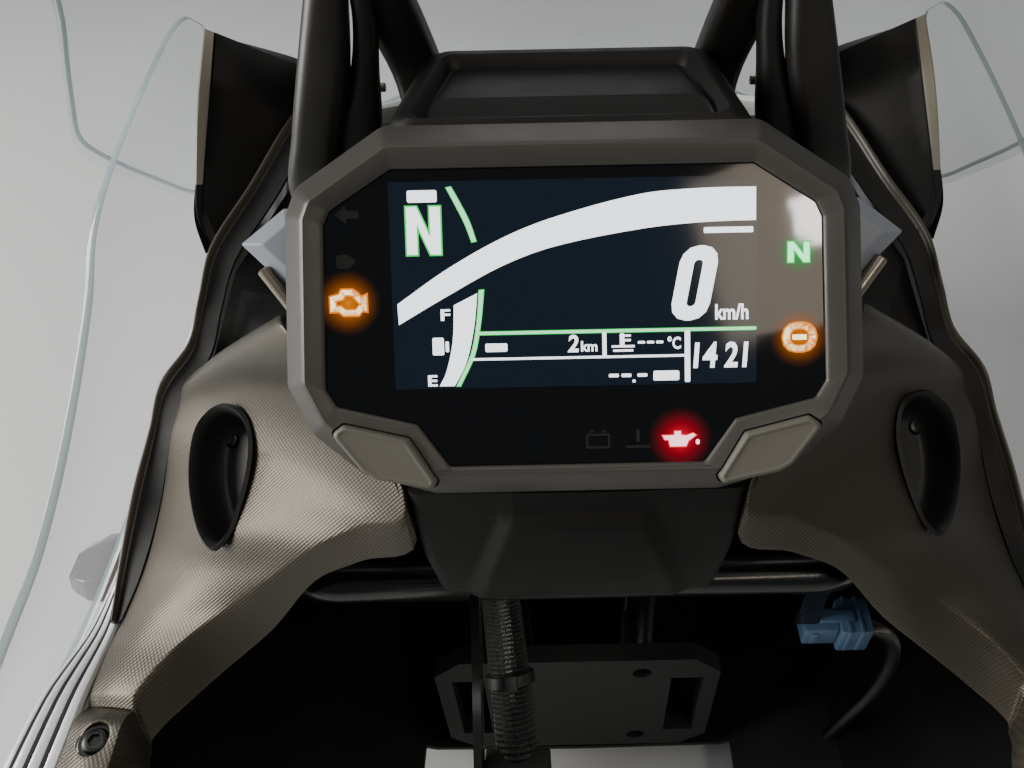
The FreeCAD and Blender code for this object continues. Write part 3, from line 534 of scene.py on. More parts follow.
def pearl_paint():
    """Pearl white lacquer on ABS: mica flakes under a hard clear coat."""
    material = new_material("pearl_white_lacquer")
    place = add_node(material, "ShaderNodeTexCoord")
    flakes = add_node(
        material, "ShaderNodeTexVoronoi", {"Scale": 1600.0}, {"Vector": place.outputs["Object"]},
    )
    ramp = add_node(material, "ShaderNodeValToRGB", links={"Fac": flakes.outputs["Color"]})
    ramp.color_ramp.elements[0].color = linear("d3d5d6")
    ramp.color_ramp.elements[1].color = linear("e6e7e6")
    return close_material(
        material,
        {"Roughness": 0.42, "Metallic": 0.12, "Coat Weight": 1.0, "Coat Roughness": 0.04, "IOR": 1.5},
        {"Base Color": ramp.outputs["Color"]},
    )


def coated_steel(name, colour, roughness):
    """Steel with a black powder coat, which lies wavy like orange peel, about 1.4 mm from wave to wave."""
    return rippled_skin(name, colour, roughness, 700.0, 0.2, 0.15)


def metal(name, colour, roughness, brush_mm=0.3):
    """Turned or plated steel, with a fine tool pattern in its shine."""
    material = new_material(name)
    place = add_node(material, "ShaderNodeTexCoord")
    marks = add_node(
        material, "ShaderNodeTexNoise", {"Scale": 1 / (brush_mm * MM), "Detail": 2.0},
        {"Vector": place.outputs["Object"]},
    )
    shine = add_node(
        material, "ShaderNodeMapRange",
        {"From Min": 0.3, "From Max": 0.7, "To Min": roughness - 0.06, "To Max": roughness + 0.08},
        {"Value": marks.outputs["Fac"]},
    )
    return close_material(
        material, {"Base Color": linear(colour), "Metallic": 1.0}, {"Roughness": shine.outputs["Result"]},
    )


def clear_sheet(name, colour, face_alpha, edge_alpha):
    """Clear cast sheet: seen square on it hides little, and at a slant its pale colour grows more opaque, a
    painted reflection.
    """
    material = new_material(name)
    slant = add_node(material, "ShaderNodeLayerWeight", {"Blend": 0.35})
    alpha = add_node(
        material, "ShaderNodeMapRange",
        {"From Min": 0.0, "From Max": 1.0, "To Min": face_alpha, "To Max": edge_alpha},
        {"Value": slant.outputs["Facing"]},
    )
    return close_material(
        material, {"Base Color": linear(colour), "Roughness": 0.04, "IOR": 1.49, "Specular IOR Level": 0.5},
        {"Alpha": alpha.outputs["Result"]},
    )


def glowing(name, colour, strength, base="050505"):
    """Lit display pixels or a lit lamp symbol."""
    return close_material(new_material(name), {
        "Base Color": linear(base), "Roughness": 0.4,
        "Emission Color": linear(colour), "Emission Strength": strength,
    })


def lamp_glow(name, colour, centre, radius, strength):
    """Light that spreads in the window round a lit lamp and fades out with the distance from it."""
    material = new_material(name)
    place = add_node(material, "ShaderNodeTexCoord")
    away = add_node(
        material, "ShaderNodeVectorMath", {1: centre}, {0: place.outputs["Object"]}, operation="DISTANCE",
    )
    fade = add_node(
        material, "ShaderNodeMapRange", {"From Min": 0.0, "From Max": radius, "To Min": 1.0, "To Max": 0.0},
        {"Value": away.outputs["Value"]},
    )
    soft = add_node(material, "ShaderNodeMath", {1: 2.0}, {0: fade.outputs["Result"]}, operation="POWER")
    return close_material(
        material,
        {"Base Color": linear("000000"), "Roughness": 0.5, "Specular IOR Level": 0.0,
         "Emission Color": linear(colour), "Emission Strength": strength},
        {"Alpha": soft.outputs["Value"]},
    )


def printed(name, colour, roughness=0.3):
    """Ink printed on the back of the window."""
    return close_material(new_material(name), {"Base Color": linear(colour), "Roughness": roughness})


# Threads of the braid once round the loom, and rows of diamonds along it.
BRAID_TURNS = 20
BRAID_ROWS = 34

BEZEL_ABS = moulded_plastic("charcoal_abs_fine_grain", "3a3834", 0.42, 0.45, 0.35)
SATIN_ABS = moulded_plastic("black_abs_satin", "1c1b19", 0.46, 0.4, 0.3)
HOOD_ABS = moulded_plastic("black_abs_soft_sheen", "0e0d0c", 0.52, 0.5, 0.3, **{"Specular IOR Level": 0.3})
PANEL_ABS = {"right": mesh_grained_abs("black_abs_mesh_grain_right", 1),
             "left": mesh_grained_abs("black_abs_mesh_grain_left", -1)}
GLOSS_ABS = gloss_plastic("black_abs_polished", "0c0c0d", 0.14)
# Trim plastic, lightened to grey-brown for the bead as a painted highlight.
BEAD_HIGHLIGHT_ABS = gloss_plastic("black_abs_bead_painted_highlight", "4a453d", 0.36)
# Near black for the trim's sunk inner strip, as painted shade.
STRIP_PAINTED_SHADE = moulded_plastic("black_abs_strip_painted_shade", "040404", 0.7, 0.5, 0.2)
ARM_ABS = moulded_plastic("black_nylon_glass_filled", "171513", 0.4, 0.9, 0.2)
BUTTON_RUBBER = moulded_plastic("grey_silicone_rubber", "5a5850", 0.55, 0.3, 0.15)
LUG_NYLON = moulded_plastic("grey_nylon_moulded", "7d828b", 0.5, 0.5, 0.2)
PLUG_NYLON = moulded_plastic("black_nylon_moulded", "191918", 0.5, 0.4, 0.2)
BLUE_NYLON = moulded_plastic("blue_nylon_moulded", "48617f", 0.42, 0.4, 0.2)
CABLE_PVC = moulded_plastic("black_pvc_sleeve", "0e0e0e", 0.36, 0.6, 0.2)
LEAD_PVC = moulded_plastic("pink_grey_pvc", "8f7a74", 0.4, 0.6, 0.1)
PEARL = pearl_paint()
# Darker grey in the grooves between the cowl's ribs: painted shade.
SHADE_PAINT_GROOVES = gloss_plastic("grey_groove_painted_shade", "5d6368", 0.3)
STEEL = coated_steel("gloss_black_powder_coat", "131312", 0.24)
PLATE_STEEL = coated_steel("matt_black_powder_coat", "050505", 0.7)
ZINC = metal("zinc_plated_steel", "c9c7c0", 0.28)
BLACK_BOLT = metal("black_oxide_steel", "444443", 0.34)
BRASS = metal("turned_brass", "b59a5e", 0.26)
CHROME = metal("vapour_coated_reflector", "dfe1e2", 0.1)
CUP_ABS = moulded_plastic("black_abs_smooth", "100f0e", 0.5, 0.8, 0.15)
COVER_ABS = moulded_plastic("black_abs_dull", "0c0b0a", 0.58, 0.5, 0.3, **{"Specular IOR Level": 0.3})
BRAID = braided_sleeve()
SLEEVE_STEEL = metal("bronze_zinc_plated_steel", "8f877a", 0.34)
ACRYLIC = clear_sheet("clear_cast_acrylic", "dce6e9", 0.05, 0.42)
# Cut edges of clear sheet: the nearly opaque grey-blue is partly the tint of thick acrylic seen edge-on,
# partly painted light in place of the bright line a polished edge gathers.
EDGE_PAINTED_LIGHT = clear_sheet("acrylic_edge_tint_and_painted_light", "93a3a9", 0.8, 0.97)
LENS = clear_sheet("clear_polycarbonate_lens", "e3e9eb", 0.06, 0.4)
SIGNAL_PC = clear_sheet("faceted_polycarbonate_lens", "585251", 0.8, 0.98)
# Lighter grey-brown on the raised rim of the deflector bracket: a painted highlight.
WING_RIM_HIGHLIGHT_ABS = moulded_plastic("grey_brown_rim_painted_highlight", "857f70", 0.42, 0.5, 0.2)
GUIDE_PC = glowing("milky_light_guide", "e8f0f6", 0.35, "d9dee0")
AMBER_GLASS = gloss_plastic("amber_lamp_glass", "c9731c", 0.08)
PROJECTOR_GLASS = gloss_plastic("thick_lamp_glass", "56646e", 0.03)
WINDOW_GLASS = gloss_plastic("black_printed_glass", "050506", 0.05)


# The floor lies just under the lowest point of the nose.
FLOOR_LEVEL = -0.073
FLOOR_SIZE = 8
SKY_COLOUR = (0.80, 0.86, 0.92, 1)
SKY_STRENGTH = 0.17
LIGHT_AIM = Vector((0, 0.05, 0.2))
# Columns: name, place, size, power, colour.
LIGHTS = (
    ("window_light", (-1.5, -0.1, 0.7), 0.8, 42, (1.0, 0.97, 0.92)),
    ("ceiling_lamp", (0.505, -0.984, 1.278), 0.10, 1.2, (1.0, 0.95, 0.9)),
    ("wall_light", (0.45, -1.03, 1.25), 0.34, 1.5, (1.0, 0.84, 0.66)),
    ("room_light", (0.95, -0.5, 1.3), 0.8, 4, (1.0, 0.88, 0.74)),
    ("front_light", (0.1, 1.7, 1.1), 1.3, 7, (1.0, 1.0, 1.0)),
    ("overhead_light", (-0.2, 0.1, 1.7), 0.9, 4, (1.0, 0.98, 0.95)),
)


def set_stage():
    """A plain pale floor and soft studio light."""
    bpy.ops.object.select_all(action="DESELECT")
    bpy.ops.mesh.primitive_plane_add(size=FLOOR_SIZE, location=(0, 0.4, FLOOR_LEVEL))
    floor = bpy.context.active_object
    floor.name = "floor"
    floor.data.materials.append(
        close_material(new_material("pale_floor"), {"Base Color": linear("c6c9c9"), "Roughness": 0.8})
    )
    world = bpy.data.worlds.new("studio")
    bpy.context.scene.world = world
    world.use_nodes = True
    sky = world.node_tree.nodes["Background"]
    sky.inputs["Color"].default_value = SKY_COLOUR
    sky.inputs["Strength"].default_value = SKY_STRENGTH
    for name, place, size, power, colour in LIGHTS:
        data = bpy.data.lights.new(name, "AREA")
        data.size = size
        data.energy = power
        data.color = colour
        lamp = bpy.data.objects.new(name, data)
        bpy.context.scene.collection.objects.link(lamp)
        lamp.location = place
        lamp.rotation_euler = (LIGHT_AIM - Vector(place)).to_track_quat("-Z", "Y").to_euler()


set_stage()

# Instrument. Half outlines in the display's frame, from the top down: both have seven corners,
# so that the bezel's inner slope runs from corner to corner.
BEZEL_HALF = ((49.5, 42), (73, 26.5), (76, 19), (77.6, -26), (71.5, -39), (57.9, -50.5), (38.5, -56))
WINDOW_HALF = ((46.7, 30), (62.7, 19.8), (64.5, 16), (65.8, -26.5), (63, -31.1), (42, -36.2), (33.8, -47.6))
BUTTON = ((64.5, -38), (61, -35.5), (44.2, -39.6), (37, -51), (38.2, -53.3), (53, -50.3), (56.5, -48.4))
# Section of the bezel from its back over the ridge. Columns: inset, level, corner radius.
BEZEL_OUTER = (
    (0.8, -14, 5), (0, -13.2, 6), (0, -3.6, 6), (0.5, -2.2, 6),
    (5.5, 2.9, 4.4), (6.1, 3.6, 4), (6.9, 4, 3.6), (7.6, 3.9, 3.2),
)
BEZEL_INNER = ((-0.9, 2.9, 2.2), (-0.3, 2.6, 1.8), (0, 2.2, 1.5), (0, 1, 1.5))
BUTTON_PLAY = 0.5
# Section of a button. Columns: inset, level, corner radius.
BUTTON_SECTION = (
    (0, -3, 1.6), (0, 3.9, 1.6), (0.3, 4.7, 1.7), (0.8, 5.2, 1.8), (1.2, 5.25, 1.8), (1.6, 5.0, 1.8),
    (1.9, 4.97, 1.8),
)
BUTTON_ROOM = ((0, -3, 1.6), (0, 9, 1.6))
WINDOW_SECTION = ((0.1, -1, 1.4), (0.1, 1.35, 1.4), (0.3, 1.5, 1.3))


def section_rings(outline, section):
    return [raised(rounded(inset(outline, step), radius), level) for step, level, radius in section]


def mirrored_outline(outline, side):
    """The outline itself on the right, or its mirror image, anticlockwise again."""
    return list(outline) if side > 0 else [(-x, y) for x, y in reversed(outline)]


def make_bezel():
    rings = section_rings(both_sides(BEZEL_HALF), BEZEL_OUTER)
    rings += section_rings(both_sides(WINDOW_HALF), BEZEL_INNER)
    bezel = loft("bezel", rings, FACE)
    for side in (-1, 1):
        outline = inset(mirrored_outline(BUTTON, side), -BUTTON_PLAY)
        combined(bezel, loft("button_room", section_rings(outline, BUTTON_ROOM), FACE))
    settle(shaded(bezel, 28), BEZEL_ABS, ["meter_bezel"])
    button = loft("side_button", section_rings(BUTTON, BUTTON_SECTION), FACE)
    settle_pair(shaded(button, 40), BUTTON_RUBBER, ["meter_button"])
    window = loft("window", section_rings(both_sides(WINDOW_HALF), WINDOW_SECTION), FACE)
    settle(shaded(window), WINDOW_GLASS, ["meter_window", "display_module"])


make_bezel()

# Figures on the display, in its frame. They stand a few hundredths of a millimetre off the window.
FIGURE_FOOT = 1.42
GLOW_TOP = 1.51
TFT_TOP = 1.52
BACK_TOP = 1.54
FIGURE_TOP = 1.56
# How far the coloured edge of a lit figure reaches past its white core.
LIT_EDGE = 0.42


def figure(name, outline, top=FIGURE_TOP):
    return loft(name, [raised(outline, FIGURE_FOOT), raised(outline, top)], FACE)


def outlined(name, outer, inner):
    """A figure with a hole."""
    rings = [raised(outer, FIGURE_FOOT), raised(outer, FIGURE_TOP)]
    rings += [raised(inner, FIGURE_TOP), raised(inner, FIGURE_FOOT)]
    return hoop(name, rings, FACE)


def bar(left, low, right, high, radius=0.25):
    """An upright rectangle with small round corners."""
    return rounded([(left, low), (right, low), (right, high), (left, high)], radius, 3)


def band(upper, lower, steps=8):
    """A curved bar between two lines, both listed from left to right."""
    return flat_line(lower, steps) + list(reversed(flat_line(upper, steps)))


def lettered(name, text, left, low, tall, wide, lean=0.0, weight=0.02):
    """A word or number of a given height and width, as a thin solid on the display."""
    bpy.ops.object.select_all(action="DESELECT")
    bpy.ops.object.text_add()
    item = bpy.context.active_object
    item.name = name
    item.data.body = text
    item.data.offset = weight
    item.data.shear = lean
    item.data.resolution_u = 3
    item.data.extrude = 0.5
    bpy.ops.object.convert(target="MESH")
    xs = [vertex.co.x for vertex in item.data.vertices]
    ys = [vertex.co.y for vertex in item.data.vertices]
    for vertex in item.data.vertices:
        x = left + (vertex.co.x - min(xs)) / (max(xs) - min(xs)) * wide
        y = low + (vertex.co.y - min(ys)) / (max(ys) - min(ys)) * tall
        z = FIGURE_TOP if vertex.co.z > 0 else FIGURE_FOOT
        vertex.co = FACE @ (Vector((x, y, z)) * MM)
    return merged(item, False)


def letter_n(left, low, wide, tall, stroke):
    slope = tall * 0.36
    points = (
        (0, 0), (stroke, 0), (stroke, tall - slope), (wide - stroke, 0), (wide, 0),
        (wide, tall), (wide - stroke, tall), (wide - stroke, slope), (stroke, tall), (0, tall),
    )
    return shifted(points, left, low)


def oval(centre_x, centre_y, wide, tall, radius, lean=0.0):
    """An oval or a rounded box of a width and height round a centre, leaning to the right."""
    outline = bar(-wide / 2, -tall / 2, wide / 2, tall / 2, radius)
    return shifted([(x + y * lean, y) for x, y in outline], centre_x, centre_y)


TACHO_TOP = ((-46.2, -4.5), (-33.2, 4.2), (-18.4, 12.1), (-5, 17.1), (17.5, 22.6), (33, 23.8), (47.3, 23.9))
TACHO_LOW = ((-46, -9.9), (-33.4, -2.8), (-18.6, 4.9), (-5.1, 9.6), (17.4, 13.7), (33, 15.1), (47.3, 15.4))
# The nought of the speed: its outer and its inner ring, as centre, width, height, radius and lean.
NOUGHT = ((31.4, -0.5, 10, 19.4, 4.4, 0.2), (31.4, -0.5, 2.3, 12, 1.1, 0.2))


def make_white_figures():
    parts = [
        figure("tacho_bar", band(TACHO_TOP, TACHO_LOW)),
        outlined("zero", *[oval(*row) for row in NOUGHT]),
        lettered("unit", "km/h", 36.7, -10.2, 4.2, 8.7, 0, 0.03),
        lettered("clock_hours", "14", 30.9, -22.7, 6.8, 6.4, 0.1, 0.03),
        lettered("clock_minutes", "21", 39, -22.7, 6.8, 6.4, 0.1, 0.03),
        figure("line_low", bar(-27.4, -19.6, 29, -18.95)),
        figure("line_clock", bar(28.7, -26.3, 30.1, -12.8)),
        figure("line_middle", bar(7.1, -19.2, 8.2, -12.8)),
        figure("fuel_wedge", band(
            ((-35.9, -26.2), (-34.0, -22.4), (-32.1, -14.5), (-31.5, -5.0)),
            ((-31.9, -26.2), (-28.7, -20.2), (-26.4, -11.0), (-25.3, -2.0)), 5,
        )),
        lettered("fuel_full", "F", -35.0, -9.0, 3.0, 2.5, 0, 0.03),
        lettered("fuel_empty", "E", -38.9, -26.2, 3.0, 2.5, 0, 0.03),
        lettered("trip_number", "2", -2.0, -17.9, 4.6, 2.9, 0.1, 0.03),
        lettered("trip_unit", "km", 1.5, -17.8, 2.8, 4.3, 0, 0.03),
        lettered("heat_unit", "\u00b0C", 24.2, -17.6, 3.4, 3.5, 0, 0.03),
        figure("label_gear", bar(-42.7, 21.5, -35.0, 24.6, 0.5)),
        figure("label_tacho", bar(33.8, 12.3, 46.6, 13.8, 0.3)),
        figure("label_trip", bar(-23.6, -17.4, -17.8, -15.2, 0.4)),
    ]
    # Small symbols made of bars. Columns: left, low, right, high, corner radius.
    parts += [figure("small_symbol", bar(*sides)) for sides in (
        (11.7, -16.4, 12.9, -13.2, 0.3), (12.9, -14.1, 14.6, -13.5, 0.2), (12.9, -15.3, 14.6, -14.7, 0.2),
        (9.5, -16.9, 15.6, -16.3, 0.2), (9.9, -18.0, 15.2, -17.4, 0.2),
        (-37.4, -18.0, -34.4, -13.4, 0.4), (-34.0, -17.2, -33.1, -14.4, 0.3),
    )]
    parts += [figure("heat_dash", bar(x, -16.0, x + 1.9, -15.3)) for x in (16.4, 18.8, 21.2)]
    parts += [figure("rate_dash", bar(x, -24.7, x + 2.6, -23.8)) for x in (8.7, 12.0, 16.2)]
    parts += [figure("rate_unit", bar(20.4, -25.8, 27.2, -23.2, 0.4))]
    parts += [figure("rate_point", bar(14.9, -26.2, 15.7, -25.4))]
    white = glowing("white_display_pixels", "f4f8ff", 2.2)
    settle(united("display_white_figures", parts), white)


def make_green_figures():
    letter = letter_n(-43.1, 8.2, 8.8, 12.2, 2.7)
    settle(figure("gear_letter", letter), glowing("white_letter_pixels", "f4f8ff", 2.2))
    lines = {
        "gear_arc": band(
            ((-31.3, 25.3), (-29.2, 21.4), (-26.8, 16.4), (-25.2, 11.4)),
            ((-32.5, 25.1), (-30.4, 21.0), (-28.0, 16.0), (-26.3, 11.2)), 5,
        ),
        "line_green": bar(-25.4, -12.85, 47.4, -12.15),
        "fuel_edge": band(
            ((-31.3, -26.2), (-27.4, -18.0), (-25.6, -9.5), (-24.8, -1.3)),
            ((-30.4, -26.2), (-26.4, -18.0), (-24.6, -9.5), (-23.6, -1.2)), 5,
        ),
    }
    cores = united("display_green_cores", [figure(name, outline) for name, outline in lines.items()])
    settle(cores, glowing("pale_green_pixels", "a8ffc0", 1.7))
    edges = [figure("gear_letter_edge", inset(letter, -LIT_EDGE), BACK_TOP)]
    edges += [figure(name + "_rim", inset(outline, -0.2), BACK_TOP) for name, outline in lines.items()]
    green = glowing("green_display_pixels", "22f060", 1.1)
    settle(united("display_green_edges", edges), green)


def lit_lamp(name, cores, backs, core_colour, edge_colour, centre, spread):
    """A lit symbol: its bright core, its coloured edge and the glow round it."""
    settle(united(name, cores), glowing(name + "_core", core_colour, 2.6))
    settle(united(name + "_edge", backs), glowing(name + "_rim", edge_colour, 1.2))
    halo = figure(name + "_glow", oval(*centre, 2 * spread, 2 * spread, 0.98 * spread), GLOW_TOP)
    middle = FACE @ (Vector((*centre, GLOW_TOP)) * MM)
    settle(halo, lamp_glow(name + "_halo", edge_colour, middle, spread * MM, 0.9))


def make_lamps():
    """Warning lamps beside and below the display: the lit ones glow, the others are dim print."""
    dim = printed("unlit_lamp_print", "1d1c1a")
    engine = shifted([
        (-4.6, -2.2), (-2.4, -2.2), (-1.2, -3.2), (2.6, -3.2), (3.6, -2.0), (4.8, -2.2), (4.8, 2.0),
        (3.4, 1.4), (2.4, 2.6), (1.2, 3.4), (-1.6, 3.4), (-2.2, 2.2), (-4.6, 1.6),
    ], -59, -3.9)
    lit_lamp(
        "engine_lamp", [outlined("engine", engine, inset(engine, 1.3))],
        [outlined("engine_edge", inset(engine, -LIT_EDGE), inset(engine, 1.3 + LIT_EDGE))],
        "fff0b4", "ff8a08", (-59, -3.9), 9.0,
    )
    ring = [oval(58.8, -15.1, size * 1.15, size, size / 2.1) for size in (7.4, 4.6)]
    edge = [oval(58.8, -15.1, size * 1.15, size, size / 2.1) for size in (8.2, 3.9)]
    lit_lamp(
        "brake_lamp", [outlined("brake_ring", *ring), figure("brake_bar", bar(56.9, -15.8, 60.7, -14.4))],
        [outlined("brake_edge", *edge)], "fff0b4", "ff8a08", (58.8, -15.1), 8.5,
    )
    letter = letter_n(55.6, 4.4, 5.6, 5.2, 1.5)
    lit_lamp(
        "neutral_lamp", [figure("neutral_letter", letter)],
        [figure("neutral_edge", inset(letter, -0.3), BACK_TOP)], "8dffb4", "1fd860", (58.4, 7.0), 6.5,
    )
    can = shifted([
        (-4.2, 0.9), (-3.6, -0.2), (-2.6, -0.2), (-2.2, -2.0), (2.0, -2.0), (2.6, -0.6), (4.6, 0.9),
        (3.9, 1.4), (2.0, 0.8), (0.6, 1.0), (0.6, 2.0), (-1.0, 2.0), (-1.0, 1.0), (-2.4, 0.9),
    ], 26.9, -41.4)
    drop = oval(32.0, -42.3, 1.0, 1.4, 0.45)
    lit_lamp(
        "oil_lamp", [figure("oil_can", can), figure("oil_drop", drop)],
        [figure("oil_edge", inset(can, -0.3), BACK_TOP)], "ffc4d2", "ff1038", (27.4, -41.4), 9.0,
    )
    dim_parts = [
        figure("heat_mark_stem", bar(15.7, -42.0, 16.6, -38.6)),
        figure("heat_mark_water", bar(12.8, -43.6, 19.4, -42.9)),
        outlined("battery_mark", bar(2.4, -43.6, 8.8, -39.6), bar(3.0, -43.0, 8.2, -40.2)),
        figure("battery_pole_left", bar(3.4, -39.3, 4.6, -38.8)),
        figure("battery_pole_right", bar(6.6, -39.3, 7.8, -38.8)),
        figure("arrow_mark", [
            (-61.6, 18.8), (-58.6, 16.4), (-58.6, 17.8), (-55.4, 17.8), (-55.4, 19.8), (-58.6, 19.8),
            (-58.6, 21.2),
        ]),
        figure("beam_mark", rounded([
            (-61.6, 5.0), (-58.6, 5.0), (-56.2, 6.8), (-58.6, 8.6), (-61.6, 8.6),
        ], 0.8)),
    ]
    settle(united("unlit_lamps", dim_parts), dim)


def make_display():
    panel = figure("display_panel", bar(-47.5, -26.8, 47.5, 26.8, 0.4), TFT_TOP)
    blue = close_material(new_material("lit_liquid_crystal_panel"), {
        "Base Color": linear("04070a"), "Roughness": 0.08, "IOR": 1.5,
        "Emission Color": linear("0f1a26"), "Emission Strength": 0.8,
    })
    settle(panel, blue)
    make_white_figures()
    make_green_figures()
    make_lamps()


make_display()


def dressed(node, name, material, slot, edge, body):
    """A merged copy of a solid with soft edges, in place of its node."""
    item = copied(node, name)
    if edge:
        softened(item, edge, 25, 2)
    settle(shaded(item), material, [node], body)


# Columns: node, piece, material, slot, width of its softened edges in mm, body.
for row in (
    ("meter_rear_case", "rear_case", SATIN_ABS, "case_black", 1.5, FIXED),
    ("meter_bracket", "instrument_bracket", STEEL, "stay_black", 0.4, FIXED),
    ("dash_liner", "dash_lining", COVER_ABS, "case_black", 0, FIXED),
    ("under_cover", "under_tray", COVER_ABS, "case_black", 0, FIXED),
    ("meter_plug", "instrument_socket", PLUG_NYLON, "plug_black", 0.6, FIXED),
    ("loom_plug", "loom_connector", PLUG_NYLON, "plug_black", 0.8, FIXED),
    ("instrument_hoop", "bent_hoop", STEEL, "stay_black", 0, FIXED),
    ("screen_carrier", "screen_slider", ARM_ABS, "bracket_black", 0.8, MOVING),
):
    dressed(*row)

# Lower cover under the instrument, from the top down, with a raised middle that starts below its rim.
# Columns: height, half width, front y of the sides, half width of the middle, front y of the middle.
COVER_RINGS = (
    (176, 52.4, -9.4, 19, -9.8), (170.5, 52, -11.2, 19.4, -11.6), (168.6, 51.8, -11.8, 19.6, -13.2),
    (166.4, 51.6, -12.4, 20, -15.2), (164, 51.3, -13.1, 21, -16.4), (150, 48.8, -17, 26.6, -20.2),
    (139, 45.4, -19.6, 30.5, -22.8), (135.5, 44, -18.8, 31.6, -21.4), (133, 42.4, -16, 31.4, -18.4),
    (132, 41.4, -14, 31, -16),
)
COVER_BACK = 30
COVER_CORNER = 5
# How far the raised middle's sides slope out to the cover's front.
COVER_SLOPE = 5
# Room for the loom inside the cover: its low and its high corner.
COVER_ROOM = ((-38, -6, 120), (38, 40, 177))


def make_lower_cover():
    rings = []
    for z, half, side_y, middle, middle_y in COVER_RINGS:
        side = ((half, COVER_BACK), (half, side_y), (middle + COVER_SLOPE, side_y), (middle, middle_y))
        rings.append(raised(rounded(both_sides(side), COVER_CORNER), z))
    cover = loft("instrument_lower_cover", rings)
    (left, rear, low), (right, front, high) = COVER_ROOM
    room = [(left, rear), (right, rear), (right, front), (left, front)]
    combined(cover, loft("loom_room", [raised(room, level) for level in (low, high)]))
    settle(shaded(cover, 50), COVER_ABS, ["lower_cover"])


make_lower_cover()

# The stay's mounting plate: half width, half height and thickness.
PLATE = (64, 47, 9)


def make_stay():
    """The welded tubes are glossy, and the mounting plate is matt."""
    half_width, half_height, thickness = PLATE

    def on_plate(face):
        x, y, z = face.center / MM
        return abs(x) < half_width and abs(z) < half_height and y < thickness

    stay = two_tone(shaded(copied("stay_frame", "welded_stay")), STEEL, PLATE_STEEL, on_plate)
    settle(stay, STEEL, ["stay_frame"])


make_stay()

# Lugs of the rubber mounts: a faceted wedge on each side, in the display's frame.
LUG_OUTLINE = ((66, -2), (84, 1), (97, 14), (84, 24), (66, 24))
# Columns: inset, level, corner radius.
LUG_SECTION = ((0, -31, 0.6), (0, -27.2, 0.6), (0.5, -26.6, 0.6), (4.6, -23.2, 0.6), (5.2, -23, 0.6))
# Steel sleeve under each lug: its ends and radius.
SLEEVE_ENDS = ((90.5, 6.5, -26), (80, -8, -26))
SLEEVE_RADIUS = 2.0


def make_lug():
    lug = loft("rubber_mount_lug", section_rings(LUG_OUTLINE, LUG_SECTION), FACE)
    settle_pair(shaded(lug, 12), LUG_NYLON, ["meter_lug"])
    ends = [FACE @ (Vector(end) * MM) / MM for end in SLEEVE_ENDS]
    settle_pair(shaded(rod("mount_sleeve", *ends, SLEEVE_RADIUS)), SLEEVE_STEEL)


make_lug()

# Wiring. The instrument's loom leaves its socket in a smooth sleeve, runs into a braided one
# under the cover and ends in its connector.
LOOM_RUN = (
    (-30, 18, 178), (-30, 13, 158), (-30, 15, 136), (-30, 13, 112),
    (-29, 0, 90), (-26, -20, 74), (-23, -44, 57),
)
LOOM_RADIUS = 6.5
BRAID_RUN = ((-30, 12, 108), (-29.5, 5, 97), (-28, -6, 85), (-26, -20, 74), (-24, -34, 64), (-23, -44, 57))
BRAID_RADIUS = 8.2
# Cable tie on the braid. Columns: rise over the braid, level; then its head: left, low, right, high, radius.
TIE_SECTION = ((0.2, -2.4), (1.1, -2), (1.1, 2), (0.2, 2.4))
TIE_HEAD = (-2.6, 7.4, 2.6, 11.6, 0.8)
CABLE_RUN = ((117, 5, 62), (130, 5, 57), (136, 2, 40), (133, -2, 15), (122, -6, -9), (118, -7, -26))
CABLE_RADIUS = 3.2


def make_loom():
    smooth = hose("instrument_harness", LOOM_RUN, LOOM_RADIUS)
    settle(shaded(smooth), CABLE_PVC, ["instrument_loom"])
    braid = hose("harness_braid", BRAID_RUN, BRAID_RADIUS, 24, (0.86, 1.0))
    settle(shaded(braid), BRAID)
    spot = Vector(BRAID_RUN[3])
    along = Vector(BRAID_RUN[4]) - Vector(BRAID_RUN[2])
    section = [(BRAID_RADIUS + rise, level) for rise, level in TIE_SECTION]
    tie = turned("harness_tie", section, 32, facing(spot, along))
    lock = loft("tie_head", [raised(bar(*TIE_HEAD), level) for level in (-2.6, 2.6)], facing(spot, along))
    settle(shaded(united("harness_tie", [tie, lock])), PLUG_NYLON)
    lead = hose("connector_lead", CABLE_RUN, CABLE_RADIUS)
    settle(shaded(lead), CABLE_PVC, ["connector_cable"])


make_loom()

# Blue connector: corners of its narrow and its wide half, then its latch and its ribs.
CONNECTOR_BLOCKS = (
    ((92, 0, 57), (106, 10, 68), 1.0), ((106, -2, 54.5), (119, 13, 70), 1.2),
    ((98, 2.5, 68), (112, 7.5, 71.2), 0.6), ((108.5, -2.8, 56), (110, 13.8, 70.6), 0.4),
    ((113.5, -2.8, 56), (115, 13.8, 70.6), 0.4), ((94.5, -1, 59), (97.5, 11, 66), 0.5),
)
# Short bare leads between the connector and its sleeve.
LEAD_RUNS = (
    ((118, 2, 64), (124, 2.6, 63.4), (129, 4, 58.5), (131, 4.6, 53)),
    ((118, 8, 60), (123, 7.6, 59.6), (128, 6.4, 57), (131.4, 5.4, 52)),
)
LEAD_RADIUS = 1.1


def block(name, low, high, radius):
    """A box with rounded upright edges and softened rims."""
    outline = bar(low[0], low[1], high[0], high[1], radius)
    item = loft(name, [raised(outline, level) for level in (low[2], high[2])])
    return softened(item, min(0.4, radius / 2), 40, 2)


def make_connector():
    blocks = [block("connector_block", *row) for row in CONNECTOR_BLOCKS]
    settle(shaded(united("blue_connector", blocks)), BLUE_NYLON, ["side_connector"])
    leads = [hose("bare_lead", run, LEAD_RADIUS, 10) for run in LEAD_RUNS]
    settle(shaded(united("connector_leads", leads)), LEAD_PVC)


make_connector()

